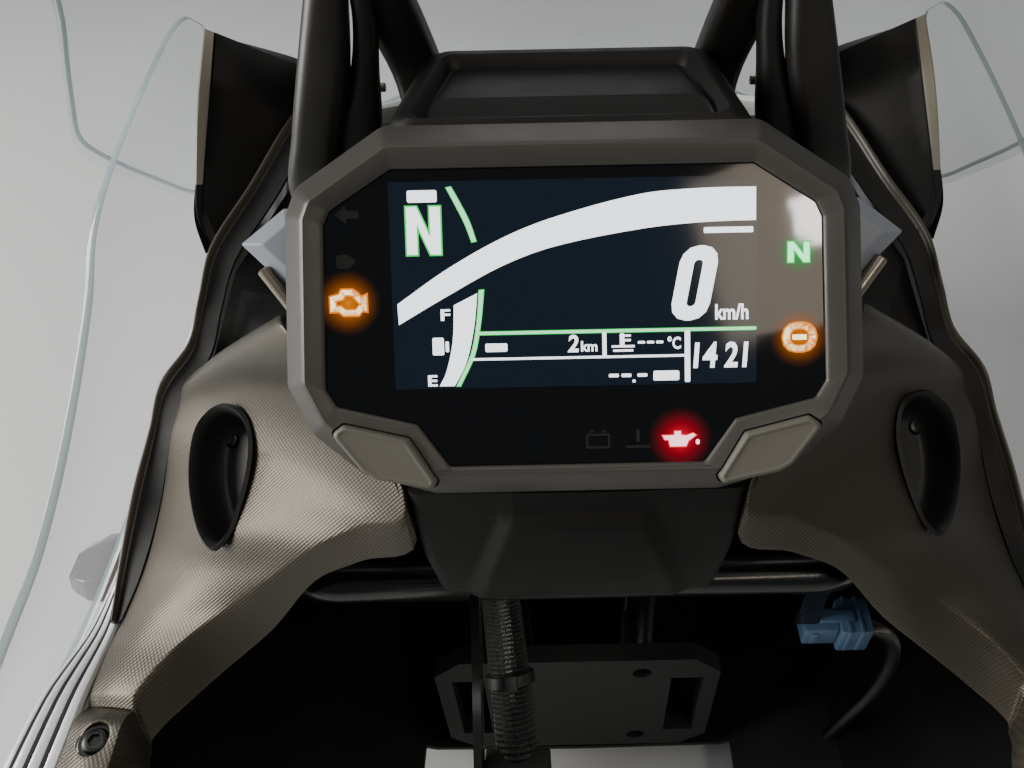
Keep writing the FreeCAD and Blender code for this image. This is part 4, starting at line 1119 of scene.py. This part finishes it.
# Hood behind the instrument, from its foot over the rolled rim into the sunk top.
# Columns: near half width, near y, near z, far half width, far y, far z, corner radius.
HOOD_RINGS = (
    (50, 96, 150, 46, 114, 150, 3),
    (50, 96, 233, 46, 114, 233, 3),
    (61, 58.5, 236, 55, 113, 236, 4),
    (62, 58, 238, 56, 114, 238, 4),
    (57, 54.5, 252, 49.5, 110, 252, 6),
    (54.5, 54.5, 257.5, 46.8, 107, 257.5, 6),
    (51.8, 56, 260.8, 44, 104.3, 260.8, 6),
    (49.3, 57.5, 262.3, 41.3, 101.8, 262.3, 5),
    (47.0, 58, 262.3, 39.4, 99.4, 262.3, 5),
    (45.3, 58, 260.9, 37.8, 97.6, 260.9, 4),
    (44.4, 58, 258.8, 36.9, 96.7, 258.8, 4),
    (43.9, 58.2, 258.4, 35.9, 95.7, 258.4, 4),
    (43.8, 58.3, 257.6, 40.6, 72.0, 261.4, 6),
    (43.5, 58.4, 257.5, 40.1, 71.2, 261.6, 6),
    (43.0, 58.6, 256.6, 39.6, 70.4, 261.2, 6),
)


def make_hood():
    rings = []
    for near_x, near_y, near_z, far_x, far_y, far_z, radius in HOOD_RINGS:
        outline = rounded([(-near_x, near_y), (near_x, near_y), (far_x, far_y), (-far_x, far_y)], radius)
        slope = (far_z - near_z) / (far_y - near_y)
        rings.append([Vector((x, y, near_z + (y - near_y) * slope)) for x, y in outline])
    settle(shaded(loft("instrument_hood", rings)), HOOD_ABS, ["meter_hood"])


make_hood()

# Inner panel, right side. Columns: foot of the side wall, ridge, middle, outer edge.
PANEL_ROWS = (
    ((86, 50, 188), (94, 55, 195), (124, 72, 166), (148, 80, 146)),
    ((82, 31, 198), (90.5, 34, 207), (125, 54, 175), (152, 68, 148)),
    ((66, 13, 180), (69, 15, 190), (113, 44, 168), (155, 64, 141)),
    ((50, -14, 159), (51.4, -12, 173), (103, 24, 157), (158, 55, 134)),
    ((70, -13, 146), (69, -9, 159.5), (109, 13, 147), (162, 42, 118)),
    ((88, -12, 133), (86, -9, 148), (120, 6, 136), (164.5, 28, 108)),
    ((108, -16, 108), (104, -10, 132), (134, 2, 120), (167, 14, 101)),
    ((125, -24, 96), (123, -12, 116), (148, -7, 108), (171, -3, 95)),
    ((140, -34, 88), (140, -20, 107), (158, -17, 101), (174, -14, 92)),
    ((149.5, -44, 84.6), (152.5, -35, 101), (163.5, -32.5, 97.5), (174.5, -30, 91.5)),
    ((149.8, -48, 82), (152.9, -39.6, 98), (163.9, -37, 94.6), (174.8, -34.4, 88.8)),
)
RECESS = (
    (139.6, 37), (136, 42.4), (128.2, 44.2), (119.1, 39), (115.1, 30.1), (115.2, 20.8),
    (117.8, 11.5), (121.4, 4), (126.6, 1.2), (132.5, 5.7), (137.1, 14.4), (140.1, 26),
)
RECESS_MIDDLE = Vector((127, 24, 148.3))
RECESS_NORMAL = Vector((0.34, -0.494, 0.80)).normalized()
# Cup of the recess. Columns: depth, share of the opening.
CUP_SECTION = (
    (2.4, 1.05), (3.4, 1.0), (6, 0.97), (10, 0.92), (13.4, 0.85), (15.6, 0.77), (16.7, 0.68), (17, 0.58),
)
CUP_WALL = 1.5
CUP_DEPTH = 17
# Room that the opening's cutter takes above and below the recess's middle.
OPENING_REACH = (-20, 24)
# The screw's place on the cup's floor, from the recess's middle, and its radius with its washer's.
RECESS_SCREW_STEP = Vector((6.8, 12.6, 4.9))
RECESS_SCREW = (3.2, 4.4)
PANEL_WALL = 1.8
# How far the soft bends at the ridge and at the outer edge reach, and the roll at the outer edge.
RIDGE_EASE = 2.2
EDGE_EASE = 4
PANEL_ROLL = (1.0, 0.4, -4.5)
# Socket screw. Columns: share of its radius, level; the washer's first column is its step from the rim.
SCREW_HEAD = ((1, 0.8), (1, 1.6), (0.86, 2.5), (0.6, 3.0), (0.56, 3.0))
SCREW_SOCKET = ((0.5, 1.4), (0.5, 6))
WASHER_SECTION = ((0.3, 0), (0, 0.3), (0, 0.8), (0.3, 1.0))


def recess_ring(depth, share):
    """The teardrop outline of the recess, at a depth along the panel's own normal."""
    ring = []
    for x, y, _ in reversed(closed_line([(x, y, 0) for x, y in RECESS], 4)):
        x = RECESS_MIDDLE.x + (x - RECESS_MIDDLE.x) * share
        y = RECESS_MIDDLE.y + (y - RECESS_MIDDLE.y) * share
        flat = (x - RECESS_MIDDLE.x) * RECESS_NORMAL.x + (y - RECESS_MIDDLE.y) * RECESS_NORMAL.y
        z = RECESS_MIDDLE.z - flat / RECESS_NORMAL.z
        ring.append(Vector((x, y, z)) - RECESS_NORMAL * depth)
    return ring


def socket_screw(name, spot, normal, radius, washer):
    """A button-head screw with a hexagon socket, on its washer."""
    place = facing(spot, normal)
    head = turned(name, [(radius * share, level) for share, level in SCREW_HEAD], 24, place)
    combined(head, turned("socket", [(radius * share, level) for share, level in SCREW_SOCKET], 6, place))
    disc = turned("washer", [(washer - step, level) for step, level in WASHER_SECTION], 28, place)
    return shaded(united(name, [head, disc]))


def panel_row(row):
    """One row of the panel with its soft ridge and its outer edge rolled down."""
    outer = Vector(row[-1])
    return eased(eased([*row, outer + Vector(PANEL_ROLL)], 3, EDGE_EASE), 1, RIDGE_EASE)


def make_recess_cup():
    """A bowl that is open towards the rider, with a flat floor."""
    rings = [recess_ring(depth, share) for depth, share in CUP_SECTION]
    cup = sheet("recess_cup", [[*ring, ring[0]] for ring in rings])
    edited(cup, (bpy.ops.mesh.remove_doubles, {"threshold": SEAM_GAP}))
    bpy.ops.object.mode_set(mode="EDIT")
    bpy.ops.mesh.select_all(action="DESELECT")
    bpy.ops.object.mode_set(mode="OBJECT")
    floor = min((vertex.co - RECESS_MIDDLE * MM).dot(RECESS_NORMAL) for vertex in cup.data.vertices)
    for vertex in cup.data.vertices:
        vertex.select = (vertex.co - RECESS_MIDDLE * MM).dot(RECESS_NORMAL) < floor + 0.1 * MM
    bpy.ops.object.mode_set(mode="EDIT")
    bpy.ops.mesh.select_mode(type="VERT")
    bpy.ops.mesh.edge_face_add()
    bpy.ops.mesh.select_all(action="SELECT")
    bpy.ops.mesh.normals_make_consistent(inside=True)
    bpy.ops.object.mode_set(mode="OBJECT")
    settle_pair(shaded(walled(cup, CUP_WALL), 50), CUP_ABS)


def make_inner_panel():
    rows = patch([panel_row(row) for row in PANEL_ROWS], 6, 5, (1, 3, 5))
    panel = walled(sheet("inner_panel_shell", list(reversed(rows))), PANEL_WALL)
    combined(panel, loft("opening", [recess_ring(depth, 1.0) for depth in OPENING_REACH]))
    softened(panel, 1.1, 50, 3)
    make_recess_cup()
    settle_pair(
        shaded(panel), PANEL_ABS["right"], ["inner_panel"], twin_material=PANEL_ABS["left"],
    )
    seat = RECESS_MIDDLE - RECESS_NORMAL * CUP_DEPTH + RECESS_SCREW_STEP
    settle_pair(socket_screw("recess_bolt", seat, RECESS_NORMAL, *RECESS_SCREW), BLACK_BOLT)


make_inner_panel()

# Lower end block of the panel, from the panel's last row to its tip.
END_ROWS = (
    ((149.8, -47, 82), (153, -39, 97), (164, -36.4, 93.6), (174.8, -34, 88)),
    ((148.4, -52, 84), (154, -44.4, 100), (164.6, -42.2, 97.6), (175.4, -39.8, 91.6)),
    ((146, -58, 84), (154.5, -52, 99), (165, -50, 97.2), (176, -48, 91)),
    ((143, -72, 82), (154, -75, 95), (165, -73, 93), (176, -71, 88)),
    ((145, -82, 66), (154, -86, 70), (164, -84, 70), (174, -80, 68)),
)
END_WALL = 4
# The end block's screw: where its axis meets the surface, its axis, its radius with its washer's, its depth.
END_SPOT = Vector((163.4, -49.2, 97))
END_LINE = (-0.12, -0.05, 1)
END_SCREW = (4.4, 5.9)
END_SCREW_DEPTH = Vector((0, 0, 2.7))
# The screw's well and the floor in it. Columns: radius, level.
WELL_SECTION = ((5.6, -3), (6.2, 20))
SEAT_SECTION = ((6.6, -6), (6.6, -2.8), (6.4, -2.6))


def make_panel_end():
    rows = patch(END_ROWS, 4, 5, (1,))
    tip = walled(sheet("panel_end_blank", list(reversed(rows))), END_WALL)
    place = facing(END_SPOT, END_LINE)
    combined(tip, turned("bolt_well", WELL_SECTION, 28, place))
    softened(tip, 1.2, 30, 3)
    shaded(united("panel_end_block", [tip, turned("bolt_seat", SEAT_SECTION, 28, place)]))
    settle_pair(tip, PANEL_ABS["right"], ["panel_end"], twin_material=PANEL_ABS["left"])
    screw = socket_screw("end_bolt", END_SPOT - END_SCREW_DEPTH, END_LINE, *END_SCREW)
    settle_pair(screw, BLACK_BOLT)


make_panel_end()

# Rim trim: from the front to the rear. Columns: inner edge, outer edge.
TRIM_ROWS = (
    ((102, 186, 205), (111, 190, 206.5)),
    ((109, 160, 201), (119, 166, 204)),
    ((121, 132, 189), (131, 136, 192)),
    ((134, 109, 177), (143.5, 112, 180)),
    ((139, 93, 165), (147.5, 95, 167.5)),
    ((145, 83, 150), (154, 86, 152)),
    ((153, 67, 142), (163.5, 71, 144)),
    ((159, 56, 131), (168.5, 60, 131)),
    ((164, 36, 112), (174, 40, 116)),
    ((167.5, 12, 101), (177.5, 14, 98.5)),
    ((171, -4, 96), (175.5, -4, 93)),
)
# Side cowl, right side. Columns: y, then x and z of rim, shoulder, side and bottom.
COWL_ROWS = (
    (-78, 177, 86, 199, 84, 211, 60, 206, 12),
    (-33, 176, 89.5, 193, 88, 206, 62, 203, 8),
    (-2, 175.5, 89, 187, 85, 201, 60, 200, 2),
    (34, 172.5, 107.5, 179, 99, 195, 66, 197, -4),
    (60, 167, 124.5, 173, 116, 190, 74, 193, -10),
    (81, 155, 145, 166, 134, 185, 80, 188, -14),
    (112, 142.5, 173, 152, 158, 178, 90, 180, -20),
    (156, 119, 197, 132, 181, 164, 98, 164, -28),
    (190, 112, 196, 130, 170, 158, 85, 152, -34),
)
# Section of the trim. Columns: share of the way from the inner to the outer edge, rise.
TRIM_SECTION = (
    (0, -0.6), (0.4, -1.2), (0.78, -1.2), (0.84, 0.6), (0.89, 1.5), (0.95, 1.6), (1.0, 1.0), (1.03, -0.8),
)
TRIM_WALL = 1.2
# Columns of the trim's mesh from here outwards are the bead.
BEAD_COLUMN = 6
COWL_WALL = 3
# Middle of the turn signal: y and z.
SIGNAL_SPOT = (66, 20)
# Hole for its stalk. Columns: radius, distance from the middle plane.
STALK_HOLE = ((8.2, 150), (8.2, 240))
# Raised ribs run along the top of the cowl and fade out towards the front.
RIB_COUNT = 4
RIB_STEPS = 6
RIB_HEIGHT = 2.2
# Height of a rib over the steps from its groove to its middle.
RIB_SHAPE = (0, 0.85, 1.0, 1.0)
# The ribs rise from RIB_START to RIB_FULL along y. Their grooves are painted a darker grey, as shade, where
# they have risen enough.
RIB_START = 26
RIB_FULL = -14
GROOVE_SHADE_FADE = 0.3


def trim_row(inner, outer):
    """A row across the trim: a sunk inner strip and a rolled bead along the outer edge."""
    inner, outer = Vector(inner), Vector(outer)
    return [inner.lerp(outer, share) + Vector((0, 0, rise)) for share, rise in TRIM_SECTION]


def make_trim():
    strip = patch([trim_row(*row) for row in TRIM_ROWS], 6, 3)
    columns = len(strip[0]) - 1
    trim = sheet("rim_trim_strip", list(reversed(strip)))
    # The sunk inner strip takes painted shade, and the bead a lighter grey-brown as a painted highlight.
    two_tone(trim, STRIP_PAINTED_SHADE, BEAD_HIGHLIGHT_ABS, lambda face: face.index % columns >= BEAD_COLUMN)
    settle_pair(shaded(walled(trim, TRIM_WALL), 50), BEAD_HIGHLIGHT_ABS, ["rim_trim"])


make_trim()


def make_side_cowl():
    rows = []
    for y, rim_x, rim_z, shoulder_x, shoulder_z, side_x, side_z, low_x, low_z in COWL_ROWS:
        rows.append(((rim_x, y, rim_z), (shoulder_x, y, shoulder_z), (side_x, y, side_z), (low_x, y, low_z)))
    steps = RIB_COUNT * RIB_STEPS
    grid = patch(rows, 6, steps)
    fades = []
    for row in grid:
        fades.append(min(1, max(0, (RIB_START - row[0].y) / (RIB_START - RIB_FULL))))
        for index in range(1, steps):
            place = index % RIB_STEPS
            row[index].z += RIB_HEIGHT * fades[-1] * RIB_SHAPE[min(place, RIB_STEPS - place)]
    columns = len(grid[0]) - 1

    def in_groove(face):
        row, column = divmod(face.index, columns)
        beside_groove = 0 < column < steps - 1 and column % RIB_STEPS in (0, RIB_STEPS - 1)
        return beside_groove and fades[row + 1] > GROOVE_SHADE_FADE

    # Faces beside each groove take the darker grey of painted shade.
    cowl = walled(two_tone(sheet("side_cowl_shell", grid), PEARL, SHADE_PAINT_GROOVES, in_groove), COWL_WALL)
    combined(cowl, turned("stalk_hole", STALK_HOLE, 28, facing((0, *SIGNAL_SPOT), (1, 0, 0))))
    settle_pair(shaded(softened(cowl, 0.9, 50, 2)), PEARL, ["side_cowl"])


make_side_cowl()

# Nose cowl from the top down, right half. Columns: centre, corner, side.
NOSE_ROWS = (
    ((0, 274, 170), (60, 255, 174), (112, 191, 195)),
    ((0, 306, 146), (66, 284, 149), (134, 191, 152)),
    ((0, 326, 112), (62, 306, 118), (150, 191, 112)),
    ((0, 343, 60), (45, 328, 62), (158, 191, 60)),
    ((0, 352, 30), (32, 338, 28), (156, 191, 10)),
    ((0, 318, -20), (28, 300, -24), (152, 191, -34)),
    ((0, 262, -66), (20, 250, -68), (84, 191, -72)),
)
LAMP_OUTLINE = ((60, 58), (118, 72), (134, 104), (112, 126), (34, 104), (26, 70))
NOSE_WALL = 3
LAMP_CORNER = 7
# Gap between the nose's opening and the lamp.
LAMP_GAP = 0.6
# Layers of the headlamp. Columns: depth under the nose's surface, thickness, inset of its outline.
LENS_LAYER = (2, 2.5, 0.3)
UNIT_LAYER = (5.4, 40, 1.8)
UNIT_ROOM = (3, 30, 4)
GUIDE_LAYER = (8, 4, 3.7)
GUIDE_INNER = 7.5
# Projectors of the headlamp. Columns: the middle of the front rim, and the radius.
PROJECTORS = ((60, 290, 84, 14), (95, 246, 97, 12))
PROJECTOR_AIM = (0.05, 1, 0.04)
# Sections of a projector. Columns: share of its radius, level from the front rim.
RING_SECTION = ((0.9, -16), (0.9, -4), (1.0, -2), (1.0, 0), (0.93, 0.8), (0.84, -0.6), (0.8, -3))
DOME_SECTION = ((0.8, -3), (0.8, -0.4), (0.72, 1.6), (0.56, 3.2), (0.34, 4.3), (0.1, 4.7))


def nose_sheet(name, inset_mm, wall):
    """The nose's own surface, moved inwards, with a wall."""
    rows = [[(-x, y, z) for x, y, z in reversed(row[1:])] + list(row) for row in NOSE_ROWS]
    item = sheet(name, patch(rows, 6, 8))
    if inset_mm:
        edited(item, (bpy.ops.transform.shrink_fatten, {"value": -inset_mm * MM}))
    return walled(item, wall)


def lamp_block(name, inset_mm, first=150, last=400):
    """A straight block through the lamp's outline, along Y."""
    outline = rounded(inset(LAMP_OUTLINE, inset_mm), LAMP_CORNER)
    return loft(name, [[(x, y, z) for x, z in outline] for y in (first, last)])


def lamp_layer(name, depth, thickness, inset_mm):
    """What a layer under the nose's surface and the lamp's outline share."""
    return combined(nose_sheet(name, depth, thickness), lamp_block("layer_edge", inset_mm), "INTERSECT")


def projector_parts(name, section):
    """The same part of both projectors, as one piece."""
    parts = []
    for *spot, radius in PROJECTORS:
        column = [(radius * share, level) for share, level in section]
        parts.append(turned(name, column, 36, facing(spot, PROJECTOR_AIM)))
    return united(name, parts)


def make_nose():
    nose = nose_sheet("nose_cowl_shell", 0, NOSE_WALL)
    for side in (-1, 1):
        opening = lamp_block("lamp_opening", -LAMP_GAP)
        opening.data.transform(Matrix.Scale(side, 4, (1, 0, 0)))
        if side < 0:
            opening.data.flip_normals()
        combined(nose, opening)
    settle(shaded(softened(nose, 0.9, 45, 2)), PEARL, ["nose_cowl"])
    lens = shaded(lamp_layer("headlamp_cover_lens", *LENS_LAYER))
    settle_pair(lens, LENS, ["headlamp_lens"])
    bowl = combined(lamp_layer("headlamp_unit", *UNIT_LAYER), lamp_layer("bowl_room", *UNIT_ROOM))
    settle_pair(shaded(bowl), GLOSS_ABS, ["headlamp"])
    guide = combined(lamp_layer("lamp_light_guide", *GUIDE_LAYER), lamp_block("guide_room", GUIDE_INNER))
    settle_pair(shaded(guide), GUIDE_PC)
    rings = projector_parts("projector_rings", RING_SECTION)
    lenses = projector_parts("projector_lenses", DOME_SECTION)
    settle_pair(shaded(rings), CHROME)
    settle_pair(shaded(lenses, 60), PROJECTOR_GLASS)


make_nose()

# Deflector bracket: columns are inner edge and outer edge, from the top down.
WING_ROWS = (
    ((110, 172, 227), (146, 179, 240)),
    ((114, 176, 202), (149, 158, 221)),
    ((128, 146, 188.5), (149.4, 131, 197.5)),
    ((133.5, 132, 183), (148.2, 120, 189)),
    ((139, 118, 177.5), (143.4, 112.5, 178.4)),
)
# Section of the bracket towards the rider. Columns: share of the width, lift of its raised rim.
WING_SECTION = ((0, 0), (0.45, 0), (0.875, 0), (0.89, 0.9), (0.98, 0.9), (1.0, 0.1))
WING_LIFT = (0, -0.8, 0.4)
# The rim is painted a lighter grey-brown as a highlight from this row of the mesh up, and outwards from this
# column.
WING_RIM = (12, 9)
WING_WALL = 4
DEFLECTOR_WALL = 4
# How far the deflector's middle stands out from the chord between its edges.
DEFLECTOR_CROWN = 3
# Side deflector, from the front to the rear: y, then x and z of its free edge and its fixed edge.
DEFLECTOR_ROWS = (
    (182, 147, 239.5, 141, 152),
    (178, 152, 244, 142, 152),
    (166, 161, 235, 147, 148),
    (136, 178, 208, 161, 132),
    (110, 184, 190, 172, 116),
    (90, 186, 171, 180, 104),
    (48, 191, 140, 190, 84),
    (12, 196, 118, 199, 68),
    (-15, 199, 109, 205, 62),
    (-52, 203, 98, 211, 58),
)


def clear_plate(item, wall):
    """Walls a clear sheet and gives its cut edge the nearly opaque edge colour, which is partly painted
    light.
    """
    item.data.materials.append(ACRYLIC)
    item.data.materials.append(EDGE_PAINTED_LIGHT)
    return shaded(softened(walled(item, wall, 1), 0.7, 50, 2), 40)


def make_deflector():
    rows = []
    for y, edge_x, edge_z, foot_x, foot_z in DEFLECTOR_ROWS:
        middle = ((edge_x + foot_x) / 2 + DEFLECTOR_CROWN, y, (edge_z + foot_z) / 2)
        rows.append(((edge_x, y, edge_z), middle, (foot_x, y, foot_z)))
    deflector = clear_plate(sheet("side_deflector", patch(rows, 5, 6)), DEFLECTOR_WALL)
    settle_pair(deflector, ACRYLIC, ["deflector"])


make_deflector()


def make_wing():
    rows = []
    for inner, outer in WING_ROWS:
        inner, outer = Vector(inner), Vector(outer)
        lift = Vector(WING_LIFT)
        rows.append([inner.lerp(outer, share) + lift * rise for share, rise in WING_SECTION])
    grid = patch(rows, 6, 3, (2, 3, 4))
    columns = len(grid[0]) - 1

    def on_rim(face):
        row, column = divmod(face.index, columns)
        return row >= WING_RIM[0] and column >= WING_RIM[1]

    # The raised rim takes a lighter grey-brown, a painted highlight.
    wing = two_tone(sheet("deflector_mount", list(reversed(grid))), HOOD_ABS, WING_RIM_HIGHLIGHT_ABS, on_rim)
    wing = shaded(softened(walled(wing, WING_WALL), 0.8, 50, 3))
    settle_pair(wing, HOOD_ABS, ["deflector_bracket"])


make_wing()

# Screen stay: columns are inner x, outer x, y and z, from the top down.
OUTER_LEG = (
    (64, 75, 102, 292), (67, 83, 94, 264), (72, 88, 90, 246),
    (76, 93, 88, 226), (68, 88, 104, 150), (56, 72, 112, 66),
)
INNER_LEG = ((50, 68, 104, 292), (45, 63, 112, 270), (41, 58, 118, 248), (36, 55, 112, 222))
MIDDLE_LEG = (
    (58, 64.4, 103, 292), (58, 64.4, 102, 277), (59.5, 68, 99, 261), (62, 78, 96, 240), (70, 80, 94, 224),
)
LEG_DEPTH = 13
LEG_CORNER = 4.5
# Plated pin through the legs and the brass insert below it. Columns: start, end, radius.
PIN = ((74, 101, 251), (60, 101, 251), 1.5)
PIN_COLLAR = ((69.5, 101, 251), (66, 101, 251), 2.8)
INSERT = ((75.4, 90, 242), (76.8, 90, 235), 1.7)
WEB = ((88, 290), (108, 284), (168, 268), (178, 276), (101, 375), (90, 366))
WEB_ACROSS = 64
WEB_HALF = 4
WEB_HOLE = (122, 306, 17)
# Rail on which the screen's shoe slides, in the screen's frame: half width, start, end, front, back.
RAIL = (6, 165, 292, 24, 32)


def leg(name, columns):
    """A rounded bar of an even depth behind its front face."""
    rings = []
    for inner, outer, y, z in columns:
        corners = [(inner, y - LEG_DEPTH), (outer, y - LEG_DEPTH), (outer, y), (inner, y)]
        rings.append([Vector((x, depth, z)) for x, depth in rounded(corners, LEG_CORNER, 4)])
    smooth = [line_through(column, 5) for column in zip(*rings)]
    return loft(name, [list(ring) for ring in zip(*smooth)])


def make_screen_stay():
    levels = (WEB_ACROSS - WEB_HALF, WEB_ACROSS + WEB_HALF)
    web = loft("web", [[(x, y, z) for y, z in rounded(WEB, 6)] for x in levels])
    y, z, radius = WEB_HOLE
    combined(web, turned("web_hole", ((radius, 40), (radius, 90)), 40, facing((0, y, z), (1, 0, 0))))
    softened(web, 1.2, 40, 2)
    half, start, end, front, back = RAIL
    outline = bar(WEB_ACROSS - half, front, WEB_ACROSS + half, back, 1.2)
    rail = loft("rail", [[(x, level, depth) for x, depth in outline] for level in (start, end)], SCREEN)
    legs = [leg("leg", columns) for columns in (OUTER_LEG, INNER_LEG, MIDDLE_LEG)]
    arm = shaded(united("screen_stay_arm", [*legs, web, rail]))
    settle_pair(arm, ARM_ABS, ["screen_stay"])
    pin = shaded(united("screen_stay_pin", [rod("pin", *PIN), rod("collar", *PIN_COLLAR, 6)]))
    settle_pair(pin, ZINC)
    settle_pair(shaded(rod("screen_stay_insert", *INSERT)), BRASS)


make_screen_stay()

# Front turn signals on short stalks through the side cowls.
SIGNAL_OUTLINE = ((-19, 0), (-14, -10), (9, -11), (20, -4), (20, 4), (9, 11), (-14, 10))
# Columns: across the motorcycle, size of the outline.
SIGNAL_BODY = ((204, 0.62), (205, 0.7), (209, 0.96), (210, 1.0), (213, 1.0))
SIGNAL_LENS = ((213, 0.97), (214, 1.0), (229, 0.97), (236, 0.93), (243, 0.72), (247, 0.55))
SIGNAL_BOWL = ((213.4, 0.84), (214.4, 0.84))
# Bulb of the turn signal. Columns: radius, level from the bowl.
BULB_SECTION = ((2.6, 0), (2.6, 6), (4.4, 9), (5.2, 13), (4.4, 17), (2.2, 19.4))
STALK_SECTION = ((8, 182), (8, 206), (9, 210))


def signal_loft(name, sections, radius):
    y, z = SIGNAL_SPOT
    outline = rounded(SIGNAL_OUTLINE, radius, 2)
    rings = []
    for x, size in sections:
        rings.append([(x, y + along * size, z + up * size) for along, up in outline])
    return loft(name, rings)


def make_signal():
    y, z = SIGNAL_SPOT
    lens = shaded(softened(signal_loft("signal_lens", SIGNAL_LENS, 1.5), 0.5, 14, 2), 12)
    settle_pair(lens, SIGNAL_PC, ["turn_lens"])
    stalk = turned("stalk", STALK_SECTION, 24, facing((0, y, z), (1, 0, 0)))
    body = shaded(united("signal_housing", [signal_loft("signal_shell", SIGNAL_BODY, 3), stalk]))
    settle_pair(body, SATIN_ABS, ["turn_signal"])
    settle_pair(shaded(signal_loft("signal_reflector", SIGNAL_BOWL, 3)), CHROME)
    bulb = turned("signal_bulb", BULB_SECTION, 20, facing((SIGNAL_BOWL[1][0], y, z), (1, 0, 0)))
    settle_pair(shaded(bulb), AMBER_GLASS)


make_signal()

# Windscreen outline, half width along the sheet's chord and height up the screen.
SCREEN_HALF = (
    (50, 402), (96, 392), (126, 370), (142, 335), (152, 290), (166, 232), (184.4, 174), (197, 147),
    (205.4, 128.6), (209.8, 118), (211.4, 108), (210.4, 86), (207, 54), (202, 20), (190, -6), (174, -14),
    (120, -8), (60, -2),
)
SCREEN_RADIUS = 290
SCREEN_WALL = 4
# The sheet before it is trimmed: half width, columns, rows, first level, step from row to row.
BLANK = (222, 52, 56, -22, 8)
# How far the trimming tool reaches along the sheet's normal.
TRIM_REACH = (-10, 130)
KNOB_ACROSS = 64
KNOB_LEVEL = 198
KNOB_RADIUS = 14
# Section of a hand knob. Columns: radius, level from its seat, share of the flutes' depth.
KNOB_SECTION = (
    (12.5, 0, 0.4), (13.5, -1, 0.4), (14, -3, 1), (14, -13, 1),
    (13.2, -15.6, 0.4), (11.4, -17, 0.4), (8, -16.4, 0.4), (4, -15.8, 0.4),
)
FLUTE_COUNT = 9
FLUTE_STEPS = 8
FLUTE_DEPTH = 1.6
# The polished edge gathers light to a bright line; the tube along it paints that line in a nearly opaque
# grey-blue.
EDGE_RADIUS = 1.1
EDGE_SIDES = 8


def screen_spot(x, y):
    """A place on the screen's front face."""
    return Vector((x, y, SCREEN_RADIUS - math.sqrt(SCREEN_RADIUS ** 2 - x ** 2)))


def make_windscreen():
    half, columns, levels, first, step = BLANK
    rows = []
    for level in range(first, first + levels * step, step):
        rows.append([screen_spot(half * (2 * column / columns - 1), level) for column in range(columns + 1)])
    screen = walled(sheet("screen_sheet", list(reversed(rows)), SCREEN), SCREEN_WALL)
    outline = both_sides(flat_line(SCREEN_HALF, 4))
    edge = loft("screen_edge", [raised(outline, reach) for reach in TRIM_REACH], SCREEN)
    softened(combined(screen, edge, "INTERSECT"), 0.6, 60, 2)
    settle(shaded(screen, 40), ACRYLIC, ["windscreen"], MOVING)
    # A tube along the edge, whose colour paints the bright line of the polished edge.
    rings = []
    for index, (x, y) in enumerate(outline):
        before, after = [screen_spot(*outline[(index + turn) % len(outline)]) for turn in (-1, 1)]
        out = Vector((-x / SCREEN_RADIUS, 0, math.sqrt(1 - (x / SCREEN_RADIUS) ** 2)))
        side = (after - before).normalized().cross(out)
        middle = screen_spot(x, y) + out * (SCREEN_WALL / 2)
        ring = []
        for turn in circle(EDGE_SIDES):
            ring.append(middle + (out * math.cos(turn) + side * math.sin(turn)) * EDGE_RADIUS)
        rings.append(ring)
    settle(shaded(hoop("screen_edge_line", rings, SCREEN), 60), EDGE_PAINTED_LIGHT, (), MOVING)


def make_knob():
    seat = screen_spot(KNOB_ACROSS - KNOB_RADIUS, KNOB_LEVEL).z
    rings = []
    for radius, level, share in KNOB_SECTION:
        ring = []
        for turn in circle(FLUTE_COUNT * FLUTE_STEPS):
            reach = radius - FLUTE_DEPTH * share * max(0, math.cos(FLUTE_COUNT * turn)) ** 2
            across = KNOB_ACROSS + reach * math.cos(turn)
            ring.append((across, KNOB_LEVEL + reach * math.sin(turn), seat + level))
        rings.append(ring)
    knob = loft("hand_knob", rings, SCREEN)
    settle_pair(shaded(knob, 50), ARM_ABS, ["screen_knob"], MOVING)


make_windscreen()
make_knob()
